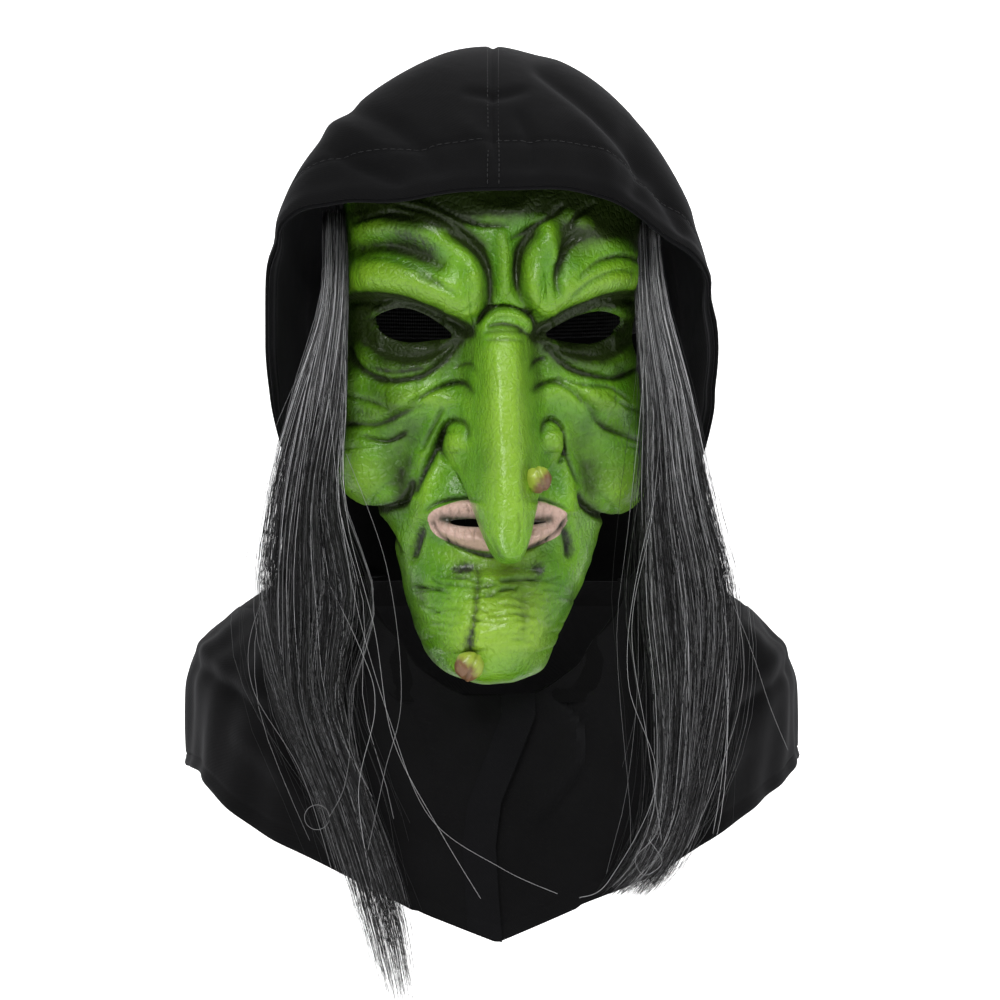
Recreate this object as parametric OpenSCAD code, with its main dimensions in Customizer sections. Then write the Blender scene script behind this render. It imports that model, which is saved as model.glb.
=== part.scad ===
// Hooded crone mask: a slush-cast latex face with a cloth hood, a shoulder cape and loose grey hair.
// Frame: +Z up, the face looks along -Y, +X is the viewer's right. The origin is the middle of
// the wearer's head, level with the pupils. Every dimension is in millimetres.

/* [Face] */
// Wall thickness of the latex
latex_wall = 2; // [1.5:0.1:2.6]
// Half width of the face across the cheeks
face_half_w = 71; // [66:1:76]
// How far the nose tip stands in front of the face
nose_reach = 58; // [40:1:64]
// How far the nose tip hangs below the nostrils
nose_droop = 42; // [20:1:46]
// Length of an eye hole along its slant
eye_len = 40; // [32:1:44]
// Height of an eye hole at its middle
eye_high = 17; // [13:1:19]
// Distance between the middles of the eye holes
eye_gap = 82; // [78:1:86]
// Width of the mouth slit
mouth_w = 42; // [36:1:46]
// Radius of the wart on the nose
nose_wart_r = 6; // [4:0.5:7]
// Radius of the wart on the chin
chin_wart_r = 6.8; // [4:0.2:7]

/* [Hood] */
// Thickness that stands for one layer of knitted cloth
cloth = 1.6; // [1.2:0.1:2]
// Half width of the hood at its front edge
hood_rim_w = 104; // [100:1:108]
// Half width of the hood over the crown
hood_crown_w = 98; // [95:1:100]
// Height of the crown above eye level
hood_top = 130; // [122:1:136]
// Height of the front edge over the brow
brow_edge = 61; // [58:1:66]
// How far the front edge stands in front of the origin
hood_front = 118; // [114:1:122]
// How far the back of the hood stands behind the origin
hood_back = 108; // [104:1:112]
// Width of the facing turned in behind the front edge
facing_w = 20; // [14:1:24]

/* [Cape] */
// Half width of the cape at the shoulders
cape_half_w = 147; // [143:1:150]
// Height of the lowest point of the hem, at the front
hem_front = -282; // [-286:1:-278]
// Height of the hem at the sides
hem_side = -206; // [-210:1:-202]
// Height of the hem at the middle of the back
hem_back = -262; // [-268:1:-256]
// Angle from the middle of the front to the line that each front flap folds along
fold_angle = 17; // [16.5:0.25:17.5]
// How far the upper flap's edge stops short of the middle
over_edge = 0; // [-4:1:10]
// How far the lower flap runs under the upper one, past the middle
under_reach = 20; // [16:1:21]

/* [Hair] */
// Height of the hair roots
root_z = 50; // [48:1:52]
// Half thickness of a lock, front to back
lock_deep = 4.5; // [3:0.5:5]

/* [Strap] */
// Width of the elastic strap
strap_w = 16; // [12:1:18]
// Thickness of the elastic strap
strap_t = 1.4; // [1:0.1:1.6]
// Radius of a rivet's shank
rivet_r = 1.9; // [1.5:0.1:2.2]

/* [Hidden] */
$fn = 48;

latex_green = [0.36, 0.75, 0.08];
wart_green = [0.62, 0.6, 0.12];
cloth_black = [0.06, 0.06, 0.065];
binding_black = [0.1, 0.1, 0.105];
tape_black = [0.16, 0.16, 0.17];
hair_grey = [0.55, 0.55, 0.56];
weft_black = [0.12, 0.12, 0.12];
elastic_black = [0.2, 0.2, 0.21];
rivet_steel = [0.7, 0.7, 0.72];

// Profile of the face from under the chin to the top of the brow: [forward of the origin, height]
profile = [
  [94, -156], [110, -165], [127, -162], [134, -150], [133, -136], [122, -120], [111, -105],
  [109, -93], [105, -80], [101, -66], [99, -50], [98, -30], [98, -12], [101, 4], [107, 20],
  [107, 40], [102, 58], [94, 74]
];
// Half width of the face beside each point of the profile, as a share of the cheeks
widths = [0.26, 0.33, 0.4, 0.47, 0.54, 0.6, 0.66, 0.72, 0.9, 1.03, 1.03, 1.0, 0.99, 1.0, 1.03,
  1.03, 1.01, 0.95];
// How far forward the side edge of the latex stands beside each point of the profile
edges = [86, 84, 82, 80, 76, 72, 68, 64, 59, 54, 51, 49, 48, 47, 46, 46, 48, 52];
face_rows = 36;
face_cols = 34;

hood_mid_z = -10;
neck_z = -118;
hood_seam_top = 20;
hood_cols = 22;
hood_rows = 20;

neck_half_w = 86;
neck_front = 84;
neck_back = 86;
shoulder_drop = 54;
chest_z = -170;
chest_depth = 109;
chest_lean = 0.2;
back_depth = 126;
flap_top_z = -175;
flap_lift = 3.2;
band_gap = 0.9;
// Top edge of the neck band, by angle from the middle of the front
neckline = [[0, -170.5], [6, -170.5], [9, -167], [15, -157], [19, -146], [33, -124], [38, -118.8],
  [180, -118.8]];
// Bottom edge of the neck band, by the same angle
band_foot = [[0, -174], [18, -174], [30, -152], [45, -134], [180, -134]];

// Each lock of hair: [height, place across, half width, forward of the origin]
left_inner_run = [[root_z, -74, 3, 66], [10, -74, 4, 82], [-35, -79, 5.5, 94], [-81, -83, 6, 98],
  [-127, -73, 11, 104], [-173, -82, 7.5, 111], [-219, -67, 5, 120], [-265, -53, 4, 129],
  [-311, -47, 2.5, 132]];
left_outer_run = [[root_z, -81.5, 3, 66], [10, -83.5, 4, 82], [-35, -91.5, 5.5, 94], [-81, -98, 7, 98],
  [-127, -98, 11.5, 104], [-173, -98.5, 7, 108], [-219, -79, 5, 118], [-258, -66, 4, 126]];
right_inner_run = [[root_z, 74, 3, 66], [10, 73, 4, 82], [-35, 74, 5, 94], [-81, 74, 7.5, 98],
  [-127, 75, 11, 104], [-173, 76, 11, 112], [-219, 76, 7, 120], [-246, 66, 5.5, 125],
  [-260, 55, 4, 127]];
right_outer_run = [[root_z, 81.5, 3, 66], [10, 82, 4, 82], [-35, 86, 5.5, 94], [-81, 91.5, 8, 98],
  [-127, 100, 12, 104], [-173, 101, 11, 108], [-219, 92, 7, 116], [-246, 81, 5.5, 121],
  [-256, 71, 4, 123]];
lock_sides = 8;
lock_rings = 22;

strap_half_w = face_half_w * max(widths) + 0.2;
strap_back = 92;
strap_low = -2;
tab_in = strap_half_w + 0.2;
tab_t = 2;
rivet_y = -34;
rivet_gap = 9;

// ---- General functions ----

function mix(a, b, t) = a + (b - a) * t;
function clamp01(t) = min(1, max(0, t));
function smooth(t) = let (c = clamp01(t)) c * c * (3 - 2 * c);
function hump(d, w) = exp(-(d / w) * (d / w));
function ridge(d, w) = exp(-pow(abs(d) / w, 2.8));

// Smooth curve through equally spaced knots, at t from 0 to 1
function knot(list, i) = list[min(len(list) - 1, max(0, i))];
function through(list, t) =
  let (n = len(list) - 1, i = min(n - 1, floor(t * n)), f = t * n - i)
  let (p0 = knot(list, i - 1), p1 = knot(list, i), p2 = knot(list, i + 1), p3 = knot(list, i + 2))
  0.5 * (2 * p1 + (p2 - p0) * f + (2 * p0 - 5 * p1 + 4 * p2 - p3) * f * f
    + (3 * p1 - p0 - 3 * p2 + p3) * f * f * f);

// A closed sheet from two grids of points, the outer one first; flip turns it inside out
module sheet(outer, inner, flip = false) {
  rows = len(outer);
  cols = len(outer[0]);
  size = rows * cols;
  points = [for (g = [outer, inner]) for (r = g) for (p = r) p];
  function at(i, j) = i * cols + j;
  top = [for (i = [0:rows - 2]) for (j = [0:cols - 2])
    each [[at(i, j), at(i, j + 1), at(i + 1, j + 1)], [at(i, j), at(i + 1, j + 1), at(i + 1, j)]]];
  under = [for (f = top) [f[2] + size, f[1] + size, f[0] + size]];
  function wall(a, b) = [[a, a + size, b + size], [a, b + size, b]];
  sides = concat(
    [for (j = [0:cols - 2]) each wall(at(0, j), at(0, j + 1))],
    [for (j = [0:cols - 2]) each wall(at(rows - 1, j + 1), at(rows - 1, j))],
    [for (i = [0:rows - 2]) each wall(at(i + 1, 0), at(i, 0))],
    [for (i = [0:rows - 2]) each wall(at(i, cols - 1), at(i + 1, cols - 1))]);
  faces = concat(top, under, sides);
  turned = [for (f = faces) [f[2], f[1], f[0]]];
  polyhedron(points, flip ? turned : faces, convexity = 8);
}

// ---- Face ----

// Relief of the face in front of its smooth form, at place x and height z
function relief(x, z) =
  let (s = abs(x))
  11 * hump(s - 34, 22) * hump(z - 21 - (s - 34) * 0.22, 9)
  - 9 * hump(s - eye_gap / 2, 19) * hump(z, 12)
  + 5 * hump(s - 46, 17) * hump(z + 30, 14)
  + 7 * hump(s - 63, 11) * hump(z + 64, 15)
  - 4 * hump(s - 24, 10) * hump(z + 45, 16)
  + 5 * hump(s, 24) * hump(z + 93, 9);

// Height of the nose above the face, as a share of its reach, by height
function nose_rise(z) = z > -58
  ? smooth((12 - z) / 20) * mix(0.14, 1, pow(clamp01((8 - z) / 62), 1.1))
  : smooth((z + 70) / 12);
function nose_drop(z) = z > -58 ? pow(clamp01((-10 - z) / 48), 1.6) : smooth((z + 70) / 12);

// A point of the latex: u from -1 to 1 across, v from 0 under the chin to 1 at the brow, depth inward
function face_point(u, v, depth) =
  let (p = through(profile, v), w = face_half_w * through(widths, v) - depth, e = through(edges, v))
  let (x = w * sin(90 * u), form = e + (p[0] - depth - e) * pow(cos(90 * u), 0.85))
  let (nose_w = 14 + 3 * clamp01((-20 - p[1]) / 40) - depth, side = ridge(x, nose_w))
  let (tall = depth > 0 ? nose_reach * 0.8 - depth : nose_reach - depth)
  let (hang = depth > 0 ? nose_droop * 0.62 : nose_droop)
  [
    x,
    -(form + relief(x, p[1]) + tall * nose_rise(p[1]) * side),
    p[1] - hang * nose_drop(p[1]) * side + (v < 0.12 ? 12 * (1 - v / 0.12) * u * u : 0)
  ];

function face_grid(depth, u0 = -1, u1 = 1, v0 = 0, v1 = 1, cols = face_cols, rows = face_rows) =
  [for (i = [0:rows]) [for (j = [0:cols])
    face_point(mix(u0, u1, j / cols), mix(v0, v1, i / rows), depth)]];

// Outline of an eye hole: an almond whose inner corner dips towards the nose
module eye_outline() {
  steps = 12;
  upper = [for (i = [0:steps]) let (t = i / steps)
    [eye_len * (t - 0.5), eye_high * 0.56 * sin(180 * t)]];
  lower = [for (i = [steps - 1:-1:1]) let (t = i / steps)
    [eye_len * (t - 0.5), -eye_high * 0.44 * sin(180 * t)]];
  polygon(concat(upper, lower));
}

module eye_hole(side) {
  translate([side * eye_gap / 2, -40, 0.5])
    rotate([90, side > 0 ? -10 : 10, 0])
      linear_extrude(height = 90) eye_outline();
}

module mouth_hole() {
  slit_high = 6;
  translate([-1, -85, -93])
    rotate([90, 0, 0])
      linear_extrude(height = 40)
        square([mouth_w, slit_high], center = true);
}

module face_shell() {
  color(latex_green)
    difference() {
      sheet(face_grid(0), face_grid(latex_wall));
      eye_hole(-1);
      eye_hole(1);
      mouth_hole();
    }
}

// A glued bead that stands just clear of the latex, out along the way it faces
module wart(u, v, radius) {
  step = 0.01;
  p = face_point(u, v, 0);
  across = face_point(u + step, v, 0) - face_point(u - step, v, 0);
  upward = face_point(u, v + step, 0) - face_point(u, v - step, 0);
  out = cross(across, upward);
  color(wart_green)
    translate(p + out / norm(out) * (radius + 0.4)) sphere(r = radius);
}

module nose_wart() wart(0.13, 0.56, nose_wart_r);
module chin_wart() wart(-0.33, 0.15, chin_wart_r);

// ---- Hood ----

// A point of the hood's right half: s from 0 at the front edge to 1 at the back seam,
// t from 0 at the crown seam to 1 at the neck, depth inward
function hood_point(s, t, depth) =
  let (front = s < 0.5, r = front ? 2 * s : 2 * s - 1)
  let (w = front ? mix(hood_rim_w, hood_crown_w, smooth(r)) - depth
    : (hood_crown_w - depth) * pow(max(0, cos(90 * r)), 0.75) * (r > 0.999 ? 0 : 1))
  let (top = front ? brow_edge - depth + (hood_top - brow_edge) * pow(sin(90 * r), 0.8)
    : hood_seam_top + (hood_top - depth - hood_seam_top) * pow(max(0, cos(90 * r)), 0.9))
  let (power = front ? mix(0.52, 0.88, smooth(r)) : 0.88)
  let (set_back = 46 * smooth((t - 0.2) / 0.6) * pow(1 - s, 2) + 10 * smooth(t / 0.3) * pow(1 - s, 4))
  let (y = front ? -hood_front * (1 - r) : (hood_back - depth) * sin(90 * r))
  let (q = clamp01(2 * t - 1), turn = 180 * min(0.5, t))
  let (gather = front ? mix(0.4, 0.12, smooth(r * 2)) : 0.12)
  [
    t <= 0 ? 0 : w * pow(sin(turn), power) * (1 - gather * q * q),
    (y + set_back) * (y > 0 ? 1 - 0.2 * q * q : 1),
    t <= 0.5 ? hood_mid_z + (top - hood_mid_z) * pow(max(0, cos(turn)), power)
      : mix(hood_mid_z, neck_z, q)
  ];

function hood_grid(depth, s1 = 1, rows = hood_rows, first = 0, last = hood_cols) =
  [for (i = [0:rows]) [for (j = [first:last]) hood_point(s1 * i / rows, j / hood_cols, depth)]];

module hood_panel() {
  color(cloth_black) sheet(hood_grid(0), hood_grid(cloth), true);
}

module hood_facing() {
  gap = 0.2;
  rows = max(1, round(hood_rows * facing_w / (hood_front + hood_back)));
  reach = rows / hood_rows;
  last = hood_cols - 1;
  color(binding_black)
    sheet(hood_grid(cloth + gap, reach, rows, 1, last), hood_grid(cloth + gap + 1, reach, rows, 1, last), true);
}

module hood_right_panel() hood_panel();
module hood_left_panel() mirror([1, 0, 0]) hood_panel();
module hood_right_facing() hood_facing();
module hood_left_facing() mirror([1, 0, 0]) hood_facing();

// ---- Cape ----

// Half width, front depth and back depth of the cape at a height
function fall(z, drop) = sin(90 * clamp01((neck_z - z) / drop));
function cape_width(z) = neck_half_w + (cape_half_w - neck_half_w) * pow(fall(z, shoulder_drop), 0.62);
function cape_front(z) = neck_front + (chest_depth - neck_front) * pow(fall(z, neck_z - chest_z), 0.8)
  + chest_lean * max(0, chest_z - z);
function cape_back(z) = neck_back + (back_depth - neck_back) * pow(fall(z, shoulder_drop), 0.62)
  + 0.04 * max(0, chest_z - z);

// A point of the cape at an angle from the middle of the front (right is positive), lift outward
function cape_point(angle, z, lift) =
  let (deep = cos(angle) > 0 ? cape_front(z) : cape_back(z))
  [(cape_width(z) + lift) * sin(angle), -(deep + lift) * cos(angle), z];

// Height of the hem at an angle
function hem(angle) =
  let (u = abs(sin(angle)))
  cos(angle) > 0 ? mix(hem_front, hem_side, 0.78 * u + 0.22 * pow(u, 4))
    : mix(hem_side, hem_back, pow(cos(angle), 2));

// A grid of the cape between two angles and two heights that depend on the angle
function cape_grid(a0, a1, cols, rows, lift) =
  [for (i = [0:rows]) [for (j = [0:cols])
    let (a = mix(a0, a1, j / cols), top = lookup(a, band_foot) - band_gap)
    cape_point(a, mix(top, hem(a), i / rows), lift)]];

function band_grid(lift) =
  let (cols = 40, rows = 4, start = 0.05)
  [for (i = [0:rows]) [for (j = [0:cols])
    let (a = mix(start, 180, j / cols), z = mix(lookup(a, neckline), lookup(a, band_foot), i / rows))
    cape_point(a, z, lift)]];

module cape_panel() {
  color(cloth_black)
    sheet(cape_grid(fold_angle, 180, 40, 8, 0), cape_grid(fold_angle, 180, 40, 8, -cloth), true);
}

module neck_band() {
  color(cloth_black) sheet(band_grid(0), band_grid(-cloth), true);
}

module cape_right_panel() cape_panel();
module cape_left_panel() mirror([1, 0, 0]) cape_panel();
module neck_band_right() neck_band();
module neck_band_left() mirror([1, 0, 0]) neck_band();

// Angle of a place across the front of the cape
function angle_at(x) = asin(x / cape_half_w);
fold_gap = 0.5;
over_start = -fold_angle + fold_gap;
over_end = -angle_at(over_edge);
under_start = fold_angle - fold_gap;
under_end = -angle_at(under_reach);

// How far the upper flap stands in front of the lower one, by angle
function over_lift(a) = flap_lift * smooth((a - over_start) / 6);

// A grid of a front flap between two angles, with its own lift at each angle
function flap_grid(a0, a1, cols, rows, lift, over) =
  [for (i = [0:rows]) [for (j = [0:cols])
    let (a = mix(a0, a1, j / cols))
    cape_point(a, mix(flap_top_z, hem(a), i / rows), lift + (over ? over_lift(a) : 0))]];

module front_flap_over() {
  color(cloth_black)
    sheet(flap_grid(over_start, over_end, 8, 8, 0, true),
      flap_grid(over_start, over_end, 8, 8, -cloth, true), true);
}

module front_flap_under() {
  color(cloth_black)
    sheet(flap_grid(under_start, under_end, 12, 8, 0, false),
      flap_grid(under_start, under_end, 12, 8, -cloth, false));
}

module over_edge_binding() {
  strip = 2.5;
  color(binding_black)
    sheet(flap_grid(over_end - strip, over_end, 2, 10, 1.1, true),
      flap_grid(over_end - strip, over_end, 2, 10, 0.1, true), true);
}

module under_edge_binding() {
  strip = 2.5;
  color(binding_black)
    sheet(flap_grid(under_end, under_end + strip, 2, 10, -cloth - 0.1, false),
      flap_grid(under_end, under_end + strip, 2, 10, -cloth - 1.1, false), true);
}

// A square of closure tape that lies on a flap near its top
module closure_tape(lift) {
  tape_high = 18;
  a0 = -angle_at(16);
  a1 = over_end;
  function patch(l) = [for (z = [flap_top_z - 4, flap_top_z - 4 - tape_high]) [for (a = [a0, (a0 + a1) / 2, a1])
    cape_point(a, z, l)]];
  color(tape_black) sheet(patch(lift + 0.6), patch(lift), true);
}

module closure_hook_tape() closure_tape(flap_lift - cloth - 0.65);
module closure_loop_tape() closure_tape(0.05);

// ---- Hair ----

module hair_weft(side) {
  color(weft_black)
    sheet(face_grid(-1.8, side * 0.86, side * 0.97, 0.9, 0.98, 3, 4),
      face_grid(-0.15, side * 0.86, side * 0.97, 0.9, 0.98, 3, 4), side < 0);
}

module hair_weft_right() hair_weft(1);
module hair_weft_left() hair_weft(-1);

// A lock of hair: flat rings swept down its run
module lock(run) {
  function ring(t) =
    let (k = through(run, t), thin = 0.55 + 0.45 * sin(180 * pow(t, 0.7)))
    [for (i = [0:lock_sides - 1]) let (a = 360 * i / lock_sides)
      [k[1] + k[2] * cos(a), -(k[3] + lock_deep * thin * sin(a)), k[0]]];
  points = [for (r = [0:lock_rings]) each ring(r / lock_rings)];
  last = lock_rings * lock_sides;
  walls = [for (r = [0:lock_rings - 1]) for (i = [0:lock_sides - 1])
    let (a = r * lock_sides + i, b = r * lock_sides + (i + 1) % lock_sides)
    each [[a, b, b + lock_sides], [a, b + lock_sides, a + lock_sides]]];
  ends = concat([for (i = [1:lock_sides - 2]) [0, i + 1, i]],
    [for (i = [1:lock_sides - 2]) [last, last + i, last + i + 1]]);
  color(hair_grey)
    polyhedron(points, [for (f = concat(walls, ends)) [f[2], f[1], f[0]]], convexity = 6);
}

module hair_left_inner_lock() lock(left_inner_run);
module hair_left_outer_lock() lock(left_outer_run);
module hair_right_inner_lock() lock(right_inner_run);
module hair_right_outer_lock() lock(right_outer_run);

// ---- Strap ----

// Plan of the strap's outer side, round the back of the head, drawn in by depth
function strap_outline(depth) =
  let (w = strap_half_w - depth, steps = 24, start = rivet_y - 8)
  concat([[w, start]], [for (i = [0:steps]) let (a = 180 * i / steps)
    [w * cos(a), (strap_back - depth) * sin(a)]], [[-w, start]]);

module rivet_holes() {
  for (z = [-1, 1])
    translate([0, rivet_y, strap_low + strap_w / 2 + z * rivet_gap / 2])
      rotate([0, 90, 0]) cylinder(r = rivet_r + 0.1, h = 200, center = true);
}

module elastic_strap() {
  inside = strap_outline(strap_t);
  color(elastic_black)
    difference() {
      translate([0, 0, strap_low])
        linear_extrude(height = strap_w)
          polygon(concat(strap_outline(0), [for (i = [len(inside) - 1:-1:0]) inside[i]]));
      rivet_holes();
    }
}

module strap_tab() {
  tab_high = 20;
  color(latex_green)
    difference() {
      translate([tab_in, -60, strap_low - 2]) cube([tab_t, 34, tab_high]);
      rivet_holes();
    }
}

module strap_tab_right() strap_tab();
module strap_tab_left() mirror([1, 0, 0]) strap_tab();

module rivet() {
  head_r = 3.6;
  head_t = 0.8;
  long = tab_in + tab_t - (strap_half_w - strap_t);
  rotate([0, 90, 0]) {
    cylinder(r = rivet_r, h = long + 0.4);
    translate([0, 0, -head_t]) cylinder(r = head_r, h = head_t);
    translate([0, 0, long + 0.2]) cylinder(r = head_r, h = head_t);
  }
}

module strap_rivets() {
  color(rivet_steel)
    for (side = [0, 1]) mirror([side, 0, 0])
      for (z = [-1, 1])
        translate([strap_half_w - strap_t - 0.1, rivet_y, strap_low + strap_w / 2 + z * rivet_gap / 2]) rivet();
}

face_shell();
nose_wart();
chin_wart();
hood_left_panel();
hood_right_panel();
hood_left_facing();
hood_right_facing();
neck_band_left();
neck_band_right();
cape_left_panel();
cape_right_panel();
front_flap_over();
front_flap_under();
over_edge_binding();
under_edge_binding();
closure_hook_tape();
closure_loop_tape();
hair_weft_left();
hair_weft_right();
hair_left_inner_lock();
hair_left_outer_lock();
hair_right_inner_lock();
hair_right_outer_lock();
elastic_strap();
strap_tab_left();
strap_tab_right();
strap_rivets();
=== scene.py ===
"""Dresses the hooded crone mask: painted latex, black knit hood and cape, loose grey hair.

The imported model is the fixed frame. Every size here is in millimetres in the model's own frame
(+Z up, the face looks along -Y, origin at the middle of the wearer's head) unless its name says
otherwise, and is multiplied by MM when a mesh is made.
"""
from __future__ import annotations

import logging
import math
from dataclasses import dataclass, field
from enum import Enum
from typing import Callable, Sequence

import bmesh
import bpy
import numpy as np
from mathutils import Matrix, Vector

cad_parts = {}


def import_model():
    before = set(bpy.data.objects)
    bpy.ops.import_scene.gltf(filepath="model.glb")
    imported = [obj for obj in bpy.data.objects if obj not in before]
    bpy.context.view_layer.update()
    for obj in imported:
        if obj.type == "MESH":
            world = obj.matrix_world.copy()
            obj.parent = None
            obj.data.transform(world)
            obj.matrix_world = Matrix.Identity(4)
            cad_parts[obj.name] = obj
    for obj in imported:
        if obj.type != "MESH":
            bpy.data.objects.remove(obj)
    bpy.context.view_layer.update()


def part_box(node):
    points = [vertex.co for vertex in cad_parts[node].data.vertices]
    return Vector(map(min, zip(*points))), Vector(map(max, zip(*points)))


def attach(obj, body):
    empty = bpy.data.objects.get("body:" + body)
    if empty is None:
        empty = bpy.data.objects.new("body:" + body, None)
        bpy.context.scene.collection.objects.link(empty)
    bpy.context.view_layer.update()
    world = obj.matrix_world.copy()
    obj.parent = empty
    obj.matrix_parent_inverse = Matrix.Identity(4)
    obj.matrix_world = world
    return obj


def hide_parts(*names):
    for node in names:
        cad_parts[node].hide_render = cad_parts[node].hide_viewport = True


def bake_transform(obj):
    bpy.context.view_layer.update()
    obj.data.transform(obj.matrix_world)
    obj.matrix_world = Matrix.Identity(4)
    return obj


LOG = logging.getLogger("crone_mask")
MM = 0.001
SEED = 31
# The viewer stands a little to the mask's right, so nearer points look shifted across
SIGHT_PLANE_Y = -95.0
SIGHT_SLOPE = 0.087

Array = np.ndarray
Point = tuple[float, float]


class Side(Enum):
    """A side of the mask, as the viewer sees it."""

    LEFT = -1
    RIGHT = 1

    @property
    def word(self) -> str:
        """The side's name in the model's node names."""
        return self.name.lower()


# ---- Curves and numbers ----


def smooth(t: Array | float) -> Array | float:
    """Eases from 0 to 1.

    Args:
        t: Where on the way, clamped to 0..1.

    Returns:
        The eased value.
    """
    t = np.clip(t, 0.0, 1.0)
    return t * t * (3 - 2 * t)


def mix(a: Array | float, b: Array | float, t: Array | float) -> Array | float:
    """Goes from a to b.

    Args:
        a: Value at t = 0.
        b: Value at t = 1.
        t: Share of the way.

    Returns:
        The value between.
    """
    return a + (b - a) * t


def through(knots: Sequence, t: Array | float) -> Array:
    """Smooth curve through equally spaced knots.

    Args:
        knots: The knots, numbers or rows of numbers.
        t: Place along the curve, 0 to 1.

    Returns:
        The point or points at t.
    """
    points = np.asarray(knots, float)
    last = len(points) - 1
    place = np.clip(np.asarray(t, float), 0, 1) * last
    cell = np.minimum(place.astype(int), last - 1)
    f = place - cell
    if points.ndim > 1:
        f = f[..., None]

    def knot(step: int) -> Array:
        return points[np.clip(cell + step, 0, last)]

    p0, p1, p2, p3 = knot(-1), knot(0), knot(1), knot(2)
    return 0.5 * (2 * p1 + (p2 - p0) * f + (2 * p0 - 5 * p1 + 4 * p2 - p3) * f**2
                  + (3 * p1 - p0 - 3 * p2 + p3) * f**3)


def crowded(start: float, end: float, count: int, density: Callable[[Array], Array]) -> Array:
    """Spreads values from start to end, closer together where density is high.

    Args:
        start: First value.
        end: Last value.
        count: How many values.
        density: How crowded the values are at each place.

    Returns:
        The values in order.
    """
    fine = np.linspace(start, end, 4000)
    total = np.concatenate([[0.0], np.cumsum((density(fine[1:]) + density(fine[:-1])) / 2)])
    return np.interp(np.linspace(0, total[-1], count), total, fine)


def sight(x: Array, y: Array) -> Array:
    """Place across as the viewer sees it.

    Args:
        x: Place across, mm.
        y: Place from front to back, mm.

    Returns:
        The apparent place across, mm.
    """
    return x + (SIGHT_PLANE_Y - y) * SIGHT_SLOPE


def read_off(x: Array, table: Sequence[Point]) -> Array:
    """Reads a table of pairs between its places.

    Args:
        x: Where to read.
        table: Pairs, first rising.

    Returns:
        The values.
    """
    return np.interp(x, [p[0] for p in table], [p[1] for p in table])


def grid_normals(grid: Array) -> Array:
    """Unit normals of a grid of points.

    Args:
        grid: Points, rows x columns x 3.

    Returns:
        A unit vector for each point, along columns x rows.
    """
    across = np.gradient(grid, axis=1)
    down = np.gradient(grid, axis=0)
    normal = np.cross(across, down)
    size = np.linalg.norm(normal, axis=2, keepdims=True)
    return normal / np.maximum(size, 1e-9)


def outward_normals(grid: Array) -> Array:
    """Unit normals of a grid that goes round the wearer, facing away from them.

    Args:
        grid: Points, mm.

    Returns:
        The normals.
    """
    out = grid_normals(grid)
    return -out if (grid[..., :2] * out[..., :2]).sum() < 0 else out


def blurred(values: Array, times: int) -> Array:
    """Softens a grid of numbers with a small box, again and again.

    Args:
        values: The grid.
        times: How often.

    Returns:
        The softened grid.
    """
    out = values.copy()
    for _ in range(times):
        for axis in (0, 1):
            before = np.roll(out, 1, axis)
            after = np.roll(out, -1, axis)
            edge = [slice(None), slice(None)]
            edge[axis] = 0
            before[tuple(edge)] = out[tuple(edge)]
            edge[axis] = -1
            after[tuple(edge)] = out[tuple(edge)]
            out = (before + out + after) / 3
    return out


# ---- Strokes ----


@dataclass(frozen=True)
class Stroke:
    """A bulge, crease or brush mark along a line, given as the viewer sees it.

    Args:
        path: Points (across, height) that the line runs through, mm.
        width: Half width, mm.
        height: How far it stands out, or in where negative, mm.
        dark: Strength of the darkening along it: dark wash paint, and painted shade where it stands for
            shadow.
        black: Strength of the black dry brush along it.
        glow: Strength of the yellow highlight along it.
        on_nose: True if it lies on the nose, False if the nose stands in front of it.
    """

    path: tuple[Point, ...]
    width: float
    height: float = 0.0
    dark: float = 0.0
    black: float = 0.0
    glow: float = 0.0
    on_nose: bool = False

    def line(self) -> Array:
        """The smooth line through the path's points.

        Returns:
            Points along the line.
        """
        if len(self.path) == 1:
            return np.array([self.path[0], self.path[0]], float)
        return through(self.path, np.linspace(0, 1, 8 * (len(self.path) - 1) + 1))

    def reach(self, across: Array, height: Array, spread: float = 1.0) -> Array:
        """How strongly the stroke acts at each place, fading to nothing away from its line.

        Args:
            across: Places across, mm.
            height: Heights, mm.
            spread: Widens the stroke by this factor.

        Returns:
            Strength from 0 to 1.
        """
        line = self.line()
        wide = self.width * spread
        margin = 2.6 * wide
        near = ((across > line[:, 0].min() - margin) & (across < line[:, 0].max() + margin)
                & (height > line[:, 1].min() - margin) & (height < line[:, 1].max() + margin))
        out = np.zeros_like(across)
        if not near.any():
            return out
        px, pz = across[near], height[near]
        best = np.full(px.shape, 1e9)
        along = np.zeros(px.shape)
        steps = len(line) - 1
        for i in range(steps):
            (ax, az), (bx, bz) = line[i], line[i + 1]
            dx, dz = bx - ax, bz - az
            f = np.clip(((px - ax) * dx + (pz - az) * dz) / max(dx * dx + dz * dz, 1e-9), 0, 1)
            gap = np.hypot(px - ax - f * dx, pz - az - f * dz)
            closer = gap < best
            best = np.where(closer, gap, best)
            along = np.where(closer, (i + f) / steps, along)
        taper = 0.5 + 0.5 * np.sqrt(np.clip(np.sin(math.pi * along), 0, 1)) if len(self.path) > 1 else 1.0
        out[near] = np.exp(-((best / wide) ** 2)) * taper
        return out


def bulge(width: float, height: float, *path: Point, **marks: float | bool) -> Stroke:
    """A raised stroke.

    Args:
        width: Half width, mm.
        height: Height, mm.
        *path: Points of its line.
        **marks: Its paint.

    Returns:
        The stroke.
    """
    return Stroke(path, width, height, **marks)


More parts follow.
